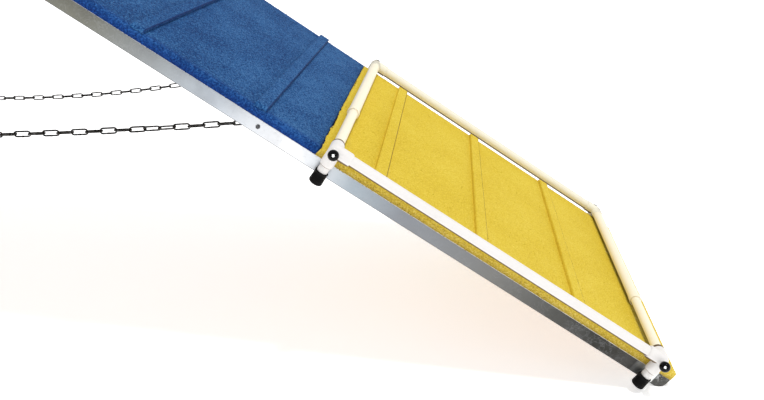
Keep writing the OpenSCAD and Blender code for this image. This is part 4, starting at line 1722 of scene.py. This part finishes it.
@dataclass
class RidgeHinge:
    """Hinge plates, their bolts, and the rod with its washers and pins."""

    shop: Workshop
    fold_clear: float = 0.019
    plate: float = 0.006
    plate_length: float = 0.130
    plate_gap: float = 0.0005
    plate_bevel: float = 0.0006
    ear: float = 0.016
    rod: float = 0.0127
    rod_tail: float = 0.016
    bolt: float = 0.008
    bolt_pitch: float = 0.060
    washer_width: float = 0.022
    washer: float = 0.002
    seat: float = 0.0003
    pin: float = 0.003
    pin_length: float = 0.026

    washer_fit: float = 0.0002
    washer_bevel: float = 0.0003
    chamfer_share: float = 0.18
    axis_depth: float = fold_clear - RAMP.rail_low
    axis_along: float = axis_depth * math.tan(SLOPE)

    def spacer(self, side: Side) -> float:
        """How far a ramp's plates are packed out from its rails."""
        return 0.0 if side is Side.RIGHT else self.plate + self.plate_gap

    def plate_outline(self) -> list[Pair]:
        """Outline of a plate: a flat along the rail and a round ear below it.

        Returns:
            The points along the slope and square to the deck.
        """
        x = self.axis_along
        low = RAMP.rail_low
        ear = [
            (x + self.ear * math.cos(turn), -self.axis_depth + self.ear * math.sin(turn))
            for turn in (math.pi + math.pi * number / 16 for number in range(17))
        ]
        flat = [
            (x + 2 * self.ear, low),
            (x + self.plate_length, low),
            (x + self.plate_length, RAMP.rail_top),
            (x, RAMP.rail_top),
            (x, low),
        ]
        return ear + flat

    def plates_mesh(self, side: Side) -> Mesh:
        """Both hinge plates of a ramp, with their spacers.

        Args:
            side: The ramp.

        Returns:
            The mesh, in the ramp's frame.
        """
        x = self.axis_along
        spacer = self.spacer(side)
        flat = oblong(x, x + self.plate_length, RAMP.rail_low, RAMP.rail_top)
        sketch = Sketch()
        for edge in Edge:
            face = RAMP.rail_in - spacer
            low, high = sorted((edge.value * face, edge.value * (face - self.plate)))
            sketch.plate(self.plate_outline(), low, high, self.plate_bevel, UPRIGHT)
            if spacer:
                low, high = sorted((edge.value * RAMP.rail_in, edge.value * face))
                sketch.plate(flat, low, high, self.plate_bevel, UPRIGHT)
        return sketch.mesh("hinge_plates")

    def build(self) -> None:
        """Builds and dresses the hinge."""
        steel = self.shop.finishes.hinge_steel
        first = self.axis_along + (self.plate_length - self.bolt_pitch) / 2
        for side in Side:
            word = side.value
            plates = Dress(f"{word}_ramp", "hinge_steel", (f"{word}_hinge_plates",), steel, math.radians(30))
            plates.put(f"{word}_hinge_ears", settle(self.plates_mesh(side), RAMP.place(side)))
            nut_face = RAMP.rail_in - self.plate - self.spacer(side)
            bolts = HexFastener(self.bolt, RAMP.rail_out, nut_face)
            bolts.put(self.shop, side, (first, first + self.bolt_pitch), RAMP.rail_mid, "hinge")
        self.build_rod()

    def build_rod(self) -> None:
        """Builds and dresses the rod, its washers and its pins."""
        axis = RAMP.place(Side.RIGHT) @ Matrix.Translation((self.axis_along, 0, -self.axis_depth))
        along_y = axis @ ALONG_Y
        reach = RAMP.rail_in + self.rod_tail
        radius = self.rod / 2
        chamfer = radius * self.chamfer_share
        rod = Sketch()
        half_rod = [(radius, reach - chamfer), (radius - chamfer, reach)]
        profile = [(size, -level) for size, level in reversed(half_rod)] + half_rod
        rod.lathe(profile, along_y, Closing.CAPPED, 40)
        washers = Sketch()
        pins = Sketch()
        half = self.pin_length / 2
        tip = self.pin / 4
        half_pin = [(self.pin / 2, half - tip), (tip, half)]
        profile = [(size, -level) for size, level in reversed(half_pin)] + half_pin
        for edge in Edge:
            start = RAMP.rail_in + self.seat
            low, high = sorted((edge.value * start, edge.value * (start + self.washer)))
            bore = radius + self.washer_fit
            disc = tube_profile(self.washer_width / 2, bore, low, high, self.washer_bevel)
            washers.lathe(disc, along_y, Closing.RING, 40)
            across = edge.value * (start + self.washer + self.pin)
            pins.lathe(profile, axis @ Matrix.Translation((0, across, 0)), Closing.CAPPED, 16)
        finishes = self.shop.finishes
        for sketch, name, node, slot, steel in (
            (rod, "ridge_rod", "hinge_rod", "hinge_steel", finishes.hinge_steel),
            (washers, "ridge_washers", "rod_washers", "fastener_steel", finishes.fastener_steel),
            (pins, "ridge_pins", "rod_pins", "fastener_steel", finishes.fastener_steel),
        ):
            Dress("right_ramp", slot, (node,), steel, math.radians(30)).put(name, sketch.mesh(node))


# Chains

NEAR_SAG = 0.066
FAR_SAG = 0.177


@dataclass
class HangingChain:
    """One chain between the ramps, link by link, in the four lengths that move."""

    edge: Edge
    sag: float
    shop: Workshop
    twist: float = 0.0
    bolt_twist_end: int = 3
    slack_twist_start: int = 5
    slack_twist_end: int = 11
    wire: float = 0.0044
    link_inside: float = 0.038
    link_width: float = 0.0175
    bolt_height: float = 1.222
    bolt: float = 0.006
    off_rail: float = 0.011
    seat: float = 0.0003
    path_steps: int = 7
    wire_steps: int = 10
    weld_swell: float = 0.14

    thread_pitch: float = 0.001
    bolt_along: float = RAMP.length - bolt_height
    across: float = RAMP.rail_in - off_rail

    @property
    def anchor(self) -> Vector:
        """The right ramp's chain bolt, in the part's frame."""
        return RAMP.place(Side.RIGHT) @ Vector((self.bolt_along, 0, RAMP.rail_mid))

    def link_mesh(self) -> Mesh:
        """One welded link, long along X and flat in the XZ plane.

        Returns:
            The mesh, its middle at the origin.
        """
        bend = (self.link_width - self.wire) / 2
        straight = self.link_inside + self.wire - 2 * bend
        path: list[tuple[Vector, float]] = []
        for sign in (1, -1):
            for step in range(self.path_steps + 1):
                turn = math.pi * step / self.path_steps - QUARTER_TURN
                centre = Vector((sign * straight / 2, 0, 0))
                path.append((centre + sign * bend * Vector((math.cos(turn), 0, math.sin(turn))), 1.0))
            middle = Vector((0, 0, sign * bend))
            swell = 1 + self.weld_swell if sign > 0 else 1.0
            for share, size in ((0.12, 1.0), (0.04, swell), (-0.04, swell), (-0.12, 1.0)):
                path.append((middle + Vector((sign * share * straight, 0, 0)), size))
        sketch = Sketch()
        loops = []
        for number, (point, size) in enumerate(path):
            ahead = path[(number + 1) % len(path)][0]
            way = (ahead - path[number - 1][0]).normalized()
            out = way.cross(Vector((0, 1, 0)))
            ring = []
            for step in range(self.wire_steps):
                turn = math.tau * step / self.wire_steps
                offset = out * math.cos(turn) + Vector((0, 1, 0)) * math.sin(turn)
                ring.append(point + offset * size * self.wire / 2)
            loops.append(sketch.loop(ring))
        sketch.skin(loops, Closing.RING)
        return sketch.mesh("link")

    def build(self) -> None:
        """Builds and dresses the four lengths of the chain."""
        steel = self.shop.finishes.chain_steel
        reach = self.anchor.x
        radius = (reach**2 + self.sag**2) / (2 * self.sag)
        half_angle = math.asin(reach / radius)
        length = 2 * half_angle * radius
        lead = self.link_inside / 2 - self.bolt / 2 - self.seat
        steps = 2 * math.ceil((length - 2 * lead) / (2 * (self.link_inside - self.seat)))
        first_angle = half_angle * (1 - 2 * lead / length)
        middle = (0.0, self.edge.value * self.across, self.anchor.z - self.sag + radius)
        LOG.info("%s chain: %d links, %.3f m", self.edge.word, steps + 1, length)
        turn = 2 * first_angle / steps
        arc = {"First_Angle": first_angle, "Turn": turn, "Radius": radius, "Middle": middle}
        slack = {"Slack_Start": self.slack_twist_start, "Slack_End": self.slack_twist_end}
        twist = {"Last": steps, "Twist": self.twist, "Bolt_End": self.bolt_twist_end, **slack}
        for number, part in enumerate(("right_end", "right_middle", "left_middle", "left_end")):
            first = 0 if number == 0 else 2 * math.floor(steps * number / 8 + 0.5) + 1
            last = 2 * math.floor(steps * (number + 1) / 8 + 0.5)
            row = {"Count": last - first + 1, "First": first}
            grown = self.shop.links.grow(self.link_mesh(), steel, **row, **arc, **twist)
            name = f"{self.edge.word}_chain_{part}"
            Dress(name, "chain_steel", (name,), steel, math.pi).put(f"{name}_links", grown)

    @staticmethod
    def build_bolts(shop: Workshop, chain: "HangingChain") -> None:
        """Builds and dresses the bolts that hold both chains on both ramps.

        Args:
            shop: The shared trees and finishes.
            chain: Either chain, for its sizes.
        """
        nut_face = chain.across - chain.wire / 2 - chain.seat
        spacer = (chain.across + chain.wire / 2 + chain.seat, RAMP.rail_in)
        for side in Side:
            bolts = HexFastener(chain.bolt, RAMP.rail_out, nut_face, spacer, pitch=chain.thread_pitch)
            bolts.put(shop, side, (chain.bolt_along,), RAMP.rail_mid, "chain")


# Pipe box


@dataclass(frozen=True)
class PipeKind:
    """Radii of a pipe and of the fittings round it."""

    outer: float
    inner: float
    hub: float


@dataclass
class PipeBox:
    """The lift-off box of white pipe over the contact zone, narrow on its near side, wide on its far side."""

    shop: Workshop
    pipe: float = 0.0267
    wall: float = 0.0029
    wide_pipe: float = 0.032
    hub_wall: float = 0.0037
    wide_hub_wall: float = 0.0022
    hub_reach: float = 0.044
    socket: float = 0.025
    top: float = 1.040
    low: float = 0.073
    side_clear: float = 0.0005
    seat: float = 0.0003
    fit: float = 0.0001
    top_mouth: float = 0.308
    low_mouth: float = 0.278
    slide: float = 0.150
    coupling: float = 0.014
    coupling_wall: float = 0.0012
    coupling_lip: float = 0.003
    leg: float = 0.090
    cap: float = 0.035
    cap_floor: float = 0.005
    cap_wall: float = 0.0028
    cap_flare: float = 0.0011
    cap_edge: float = 0.005
    boss: float = 0.018
    boss_height: float = 0.001
    knob: float = 0.027
    collar: float = 0.014
    collar_height: float = 0.002
    stud: float = 0.008
    plug: float = 0.026
    voxel: float = 0.0009
    mouth_bevel: float = 0.7
    mouth_gap: float = 0.0004
    seam: float = 0.0022
    mouth_band: float = 0.009
    coupling_rounds: tuple[float, ...] = (0.0014, 0.0006, 0.0003, 0.0, 0.0, 0.0006)
    cap_chamfer: float = 0.0006
    cap_bead: float = 0.0009
    cap_bead_start: float = 0.0002
    cap_bead_low: float = 0.0028
    cap_bead_end: float = 0.0038
    grip_rings: int = 3
    grip_first: float = 0.0085
    grip_pitch: float = 0.005
    grip_depth: float = 0.0007
    grip_floor: Pair = (0.0006, 0.0014)
    grip_end: Pair = (0.0001, 0.002)
    cap_drain: float = 0.004
    stud_chamfer: Pair = (0.0006, 0.0008)
    collar_chamfer: float = 0.0005
    collar_round: float = 0.0006
    knob_steps: int = 28
    gate: tuple[Pair, ...] = ((0.0016, 0.0001), (0.0012, 0.0004), (0.0002, 0.0004))
    narrow: PipeKind = PipeKind(pipe / 2, pipe / 2 - wall, pipe / 2 + hub_wall)
    wide: PipeKind = PipeKind(wide_pipe / 2, pipe / 2 + fit, wide_pipe / 2 + wide_hub_wall)
    level: float = max(narrow.hub, wide.hub) + seat
    start: float = hub_reach - socket

    def kind(self, edge: Edge) -> PipeKind:
        """The pipe on an edge of the deck."""
        return self.narrow if edge is Edge.NEAR else self.wide

    def look(self, edge: Edge) -> Material:
        """The finish of the side pipe and the corners on an edge."""
        finishes = self.shop.finishes
        return finishes.white_pipe if edge is Edge.NEAR else finishes.cream_pipe

    def across(self, edge: Edge) -> float:
        """A side pipe's distance from the middle of the ramp."""
        return RAMP.half + self.side_clear + self.kind(edge).hub

    def bar_place(self, top: bool) -> float:
        """Place of a bar along the slope."""
        return RAMP.length - (self.top if top else self.low)

    def mouth(self, top: bool) -> float:
        """Place of the wide pipe's mouth across the ramp."""
        return (self.top_mouth if top else self.low_mouth) - RAMP.half

    def corner_place(self, top: bool, edge: Edge) -> Matrix:
        """A corner's frame, mirrored so that its sockets point along the side, over the deck and down."""
        middle = Matrix.Translation((self.bar_place(top), edge.value * self.across(edge), self.level))
        return RAMP.place(Side.RIGHT) @ middle @ Matrix.Diagonal((1 if top else -1, -edge.value, 1, 1))

    def corner_mesh(self, kind: PipeKind) -> Mesh:
        """Moulded three-way corner: hubs blended together, bevelled mouths, bored sockets.

        Args:
            kind: The pipe that it joins over its narrow leg.

        Returns:
            The mesh, in the corner's frame.
        """
        hub = kind.hub
        ways = [
            (ALONG_X, kind.outer),
            (ALONG_Y, kind.outer),
            (DOWN, self.narrow.outer),
        ]
        sketch = Sketch()
        turns = (math.pi * (number + 0.02) / 24 for number in range(24))
        ball = [(hub * math.sin(turn), -hub * math.cos(turn)) for turn in turns]
        sketch.lathe(ball, Matrix.Identity(4), Closing.CAPPED, 64)
        mouth = self.hub_reach
        bores = Sketch()
        for number, (way, pipe) in enumerate(ways):
            square = kind == self.narrow and number == 1
            bevel = self.mouth_gap if square else (hub - pipe) * self.mouth_bevel
            arm = [(hub, 0.0), (hub, mouth - 2 * bevel)]
            arm += [(hub - bevel / 3, mouth - bevel), (hub - bevel, mouth)]
            sketch.lathe(arm, way, Closing.CAPPED, 64)
            room = pipe + self.fit
            gap = 2 * self.mouth_gap
            bore = [(self.narrow.inner, 0.0), (self.narrow.inner, self.start), (room, self.start)]
            bore += [(room, mouth - gap), (room + gap, mouth + gap)]
            bores.lathe(bore, way, Closing.CAPPED, 64)
        boss = [(self.boss / 2, 0.0), (self.boss / 2, hub + self.boss_height)]
        sketch.lathe(boss, OUTWARDS, Closing.CAPPED, 48)
        lump = add_object("corner_lump", sketch.mesh("corner_lump"))
        remesh = lump.modifiers.new("blend", "REMESH")
        remesh.mode = "VOXEL"
        remesh.voxel_size = self.voxel
        smooth = lump.modifiers.new("soften", "SMOOTH")
        smooth.factor = 0.5
        smooth.iterations = 6
        blended = add_object("corner_blend", applied(lump))
        drill = add_object("corner_bores", bores.mesh("corner_bores"))
        cut = blended.modifiers.new("bore", "BOOLEAN")
        cut.operation = "DIFFERENCE"
        cut.solver = "EXACT"
        cut.use_self = True
        cut.object = drill
        mesh = applied(blended)
        bpy.data.objects.remove(drill)
        rim = mouth - self.mouth_band
        seam = [1.0 if vertex.co.y > rim and kind == self.narrow else 0.0 for vertex in mesh.vertices]
        mesh.attributes.new("seam", "FLOAT", "POINT").data.foreach_set("value", seam)
        return mesh

    def add_pipe(
        self, sketch: Sketch, kind: PipeKind, place: Matrix, ends: Pair, seam_at: Optional[float] = None
    ) -> None:
        """Adds a straight length of pipe to a sketch.

        Args:
            sketch: The sketch that it is added to.
            kind: The pipe.
            place: Where its axis stands.
            ends: Start and end along the axis.
            seam_at: Where it comes out of a coupling, which leaves a dark line.
        """
        profile = [(kind.inner, ends[1]), (kind.inner, ends[0]), (kind.outer, ends[0])]
        seam = [0.0] * len(profile)
        if seam_at is not None:
            offs = (-self.seam, -self.seam / 2, self.seam / 2, self.seam)
            for off, dark in zip(offs, (0.0, 0.3, 0.3, 0.0)):
                profile.append((kind.outer, seam_at + off))
                seam.append(dark)
        profile.append((kind.outer, ends[1]))
        seam.append(0.0)
        sketch.lathe(profile, place, Closing.RING, 64, seam=seam)

    def bar_axis(self, top: bool) -> Matrix:
        """A bar's axis across the deck."""
        middle = Matrix.Translation((self.bar_place(top), 0, self.level))
        return RAMP.place(Side.RIGHT) @ middle @ ALONG_Y

    def coupling_profile(self) -> list[Pair]:
        """Profile of the lipped coupling over a wide pipe's mouth.

        Returns:
            Radius and distance from the mouth along the bar.
        """
        outer = self.wide.outer + self.coupling_wall
        room = self.wide.outer + self.fit
        corners = [(outer, -self.coupling_lip), (outer, self.coupling), (room, self.coupling)]
        corners += [(room, 0.0), (self.wide.inner, 0.0), (self.wide.inner, -self.coupling_lip)]
        return rounded(corners, self.coupling_rounds)

    def cap_profile(self) -> list[Pair]:
        """Profile of a leg cap: rim bead, grip rings, rounded sole and bore.

        Returns:
            Radius and distance down the leg.
        """
        low = self.leg + self.seat + self.cap_floor
        rim = low - self.cap
        body = self.narrow.outer + self.cap_wall
        foot = body + self.cap_flare
        bore = self.narrow.outer + self.fit
        floor = self.leg + self.seat
        bead = body + self.cap_bead
        profile = [(bore, rim + self.cap_chamfer), (bore + self.cap_chamfer, rim)]
        profile += [(body + self.cap_bead_start, rim), (bead, rim + self.cap_bead)]
        profile += [(bead, rim + self.cap_bead_low), (body, rim + self.cap_bead_end)]
        for ring in range(self.grip_rings):
            level = rim + self.grip_first + self.grip_pitch * ring
            skin = body + self.cap_flare * (level - rim) / self.cap
            profile.append((skin, level))
            profile += [(skin - self.grip_depth, level + down) for down in self.grip_floor]
            profile.append((skin + self.grip_end[0], level + self.grip_end[1]))
        for step in range(9):
            turn = QUARTER_TURN * step / 8
            reach = foot - self.cap_edge + self.cap_edge * math.cos(turn)
            profile.append((reach, low - self.cap_edge + self.cap_edge * math.sin(turn)))
        return profile + [(self.cap_drain, low), (self.cap_drain, floor), (bore, floor)]

    def knob_profile(self, hub: float) -> list[Pair]:
        """Profile of a ball knob outwards from its boss, with its stud inwards.

        Args:
            hub: Radius of the fitting's hub.

        Returns:
            Radius and distance from the middle of the fitting.
        """
        seat = hub + self.boss_height + self.seat
        ball = self.knob / 2
        collar = self.collar / 2
        middle = seat + self.collar_height + math.sqrt(ball**2 - collar**2)
        lowest = math.asin(collar / ball)
        stud = self.stud / 2
        stud_end = -self.start - self.plug
        rim = seat + self.collar_height
        profile = [
            (stud - self.stud_chamfer[0], stud_end),
            (stud, stud_end + self.stud_chamfer[1]),
            (stud, seat),
            (collar - self.collar_chamfer, seat),
            (collar, seat + self.collar_chamfer),
            (collar, rim - self.collar_round),
            (collar - self.collar_round, rim),
        ]
        for step in range(self.knob_steps):
            turn = lowest + (math.pi - lowest) * step / self.knob_steps
            profile.append((ball * math.sin(turn), middle - ball * math.cos(turn)))
        return profile + [(radius, middle + ball - depth) for radius, depth in self.gate]

    def build(self) -> None:
        """Builds and dresses the box."""
        finishes = self.shop.finishes
        body = "contact_box"
        for edge in Edge:
            middle = Matrix.Translation((0, edge.value * self.across(edge), self.level))
            place = RAMP.place(Side.RIGHT) @ middle @ ALONG_X
            tube = Sketch()
            upper, lower = self.bar_place(True), self.bar_place(False)
            ends = (upper + self.start, lower - self.start)
            self.add_pipe(tube, self.kind(edge), place, ends)
            dress = Dress(body, "white_pipe", (f"{edge.word}_side_pipe",), self.look(edge))
            dress.put(f"{edge.word}_side_tube", tube.mesh("side_tube"))
        rings = Sketch()
        for top, word in ((True, "top"), (False, "low")):
            axis = self.bar_axis(top)
            mouth = self.mouth(top)
            tubes = Sketch()
            near, far = -self.across(Edge.NEAR), self.across(Edge.FAR)
            near_ends = (near + self.start, mouth + self.slide)
            self.add_pipe(tubes, self.narrow, axis, near_ends, mouth - self.coupling_lip)
            self.add_pipe(tubes, self.wide, axis, (mouth, far - self.start))
            dress = Dress(body, "white_pipe", (f"{word}_bar_pipes",), finishes.ivory_pipe)
            dress.put(f"{word}_bar_tubes", tubes.mesh("bar_tubes"))
            at_mouth = axis @ Matrix.Translation((0, 0, mouth))
            rings.lathe(self.coupling_profile(), at_mouth, Closing.RING, 64)
        dress = Dress(body, "white_fitting", ("bar_couplings",), finishes.ivory_pipe)
        dress.put("bar_coupling_rings", rings.mesh("coupling_rings"))
        paint_node("bar_plugs", finishes.plug)
        self.build_corners()

    def build_corners(self) -> None:
        """Builds and dresses the corners with their legs, caps and knobs."""
        finishes = self.shop.finishes
        body = "contact_box"
        fittings = {edge: self.corner_mesh(self.kind(edge)) for edge in Edge}
        caps = Sketch()
        legs = Sketch()
        for top, edge in ((top, edge) for top in (True, False) for edge in Edge):
            stem = f"{'top' if top else 'low'}_{edge.word}"
            place = self.corner_place(top, edge)
            dress = Dress(body, "white_fitting", (f"{stem}_corner",), self.look(edge), math.radians(50))
            dress.put(f"{stem}_fitting", settle(fittings[edge].copy(), place))
            down = place @ DOWN
            self.add_pipe(legs, self.narrow, down, (self.start, self.leg))
            caps.lathe(self.cap_profile(), down, Closing.RING, 64)
            knob = Sketch()
            out = place @ OUTWARDS
            knob.lathe(self.knob_profile(self.kind(edge).hub), out, Closing.CAPPED, 48)
            plastic = finishes.knob_plastic
            node = f"{stem}_knob"
            dress = Dress(node, "knob_plastic", (node,), plastic, math.radians(35), self.shop.shiny)
            dress.put(f"{stem}_ball_knob", knob.mesh("knob"))
        Dress(body, "white_pipe", ("box_legs",), finishes.white_pipe).put("leg_tubes", legs.mesh("legs"))
        dress = Dress(body, "cap_rubber", ("leg_caps",), finishes.cap_rubber, math.radians(50))
        dress.put("leg_rubber_caps", caps.mesh("caps"))


# Studio


@dataclass
class Studio:
    """Floor, light and camera."""

    shop: Workshop
    floor_half: float = 30.0
    camera_place: Triple = (1.7005, -2.0989, 1.1706)
    camera_tilt: float = math.radians(67.744)
    camera_roll: float = math.radians(0.132)
    camera_heading: float = math.radians(5.196)
    lens: float = 34.946
    sensor: float = 36.0
    sky: float = 0.62
    key_from: Triple = (0.27, -0.15, 0.96)
    key_strength: float = 1.5
    key_spread: float = math.radians(6)
    softbox_place: Triple = (1.8, -2.35, 0.95)
    softbox_aim: Triple = (1.9, -0.4, 0.4)
    softbox_size: Pair = (1.8, 2.2)
    softbox_power: float = 1700.0

    def build_floor(self) -> None:
        """Lays the floor."""
        reach = self.floor_half
        corners = [(x, y, 0.0) for x, y in oblong(-reach, reach, -reach, reach)]
        mesh = bpy.data.meshes.new("floor")
        mesh.from_pydata(corners, [], [(0, 1, 2, 3)])
        mesh.materials.append(self.shop.finishes.floor)
        add_object("floor", mesh)

    def build_light(self) -> None:
        """Sets a white surround, a key light from overhead and a softbox behind the camera."""
        world = bpy.data.worlds.new("studio")
        world.use_nodes = True
        sketch = NodeSketch(world.node_tree)
        seen = sketch.add("ShaderNodeLightPath").outputs["Is Camera Ray"]
        background = world.node_tree.nodes["Background"]
        background.inputs["Color"].default_value = (1.0, 1.0, 1.0, 1.0)
        sketch.put(background.inputs["Strength"], sketch.fit(seen, 0.0, 1.0, self.sky, 1.0))
        bpy.context.scene.world = world
        key = self.add_lamp("key", "SUN", self.key_strength, Vector(self.key_from))
        key.data.angle = self.key_spread
        place = Vector(self.softbox_place)
        box = self.add_lamp("softbox", "AREA", self.softbox_power, place - Vector(self.softbox_aim))
        box.location = place
        box.data.shape = "RECTANGLE"
        box.data.size, box.data.size_y = self.softbox_size
        box.visible_diffuse = False
        box.light_linking.receiver_collection = self.shop.shiny

    @staticmethod
    def add_lamp(name: str, kind: str, power: float, towards: Vector) -> Object:
        """Adds a light.

        Args:
            name: Its name.
            kind: Its type.
            power: Its strength.
            towards: The way from what it lights to the light.

        Returns:
            The light.
        """
        data = bpy.data.lights.new(name, kind)
        data.energy = power
        lamp = bpy.data.objects.new(name, data)
        lamp.rotation_euler = towards.to_track_quat("Z", "Y").to_euler()
        bpy.context.scene.collection.objects.link(lamp)
        return lamp

    def build_camera(self) -> None:
        """Sets the camera at the photograph's angle."""
        data = bpy.data.cameras.new("camera")
        data.sensor_fit = "HORIZONTAL"
        data.sensor_width = self.sensor
        data.lens = self.lens
        camera = bpy.data.objects.new("camera", data)
        camera.location = self.camera_place
        camera.rotation_euler = (self.camera_tilt, self.camera_roll, self.camera_heading)
        bpy.context.scene.collection.objects.link(camera)
        bpy.context.scene.camera = camera
        bpy.context.scene.view_settings.view_transform = "Standard"

    def build(self) -> None:
        """Sets up the whole studio."""
        self.build_floor()
        self.build_light()
        self.build_camera()


def main() -> None:
    """Builds every sub-assembly in order."""
    logging.basicConfig(level=logging.INFO, format="%(name)s: %(message)s")
    shop = Workshop()
    Studio(shop).build()
    for side in Side:
        Deck(side, shop).build()
        RailFrame(side, shop).build()
    RidgeHinge(shop).build()
    chains = [HangingChain(Edge.NEAR, NEAR_SAG, shop, QUARTER_TURN), HangingChain(Edge.FAR, FAR_SAG, shop)]
    for chain in chains:
        chain.build()
    HangingChain.build_bolts(shop, chains[0])
    PipeBox(shop).build()


if __name__ == "__main__":
    main()
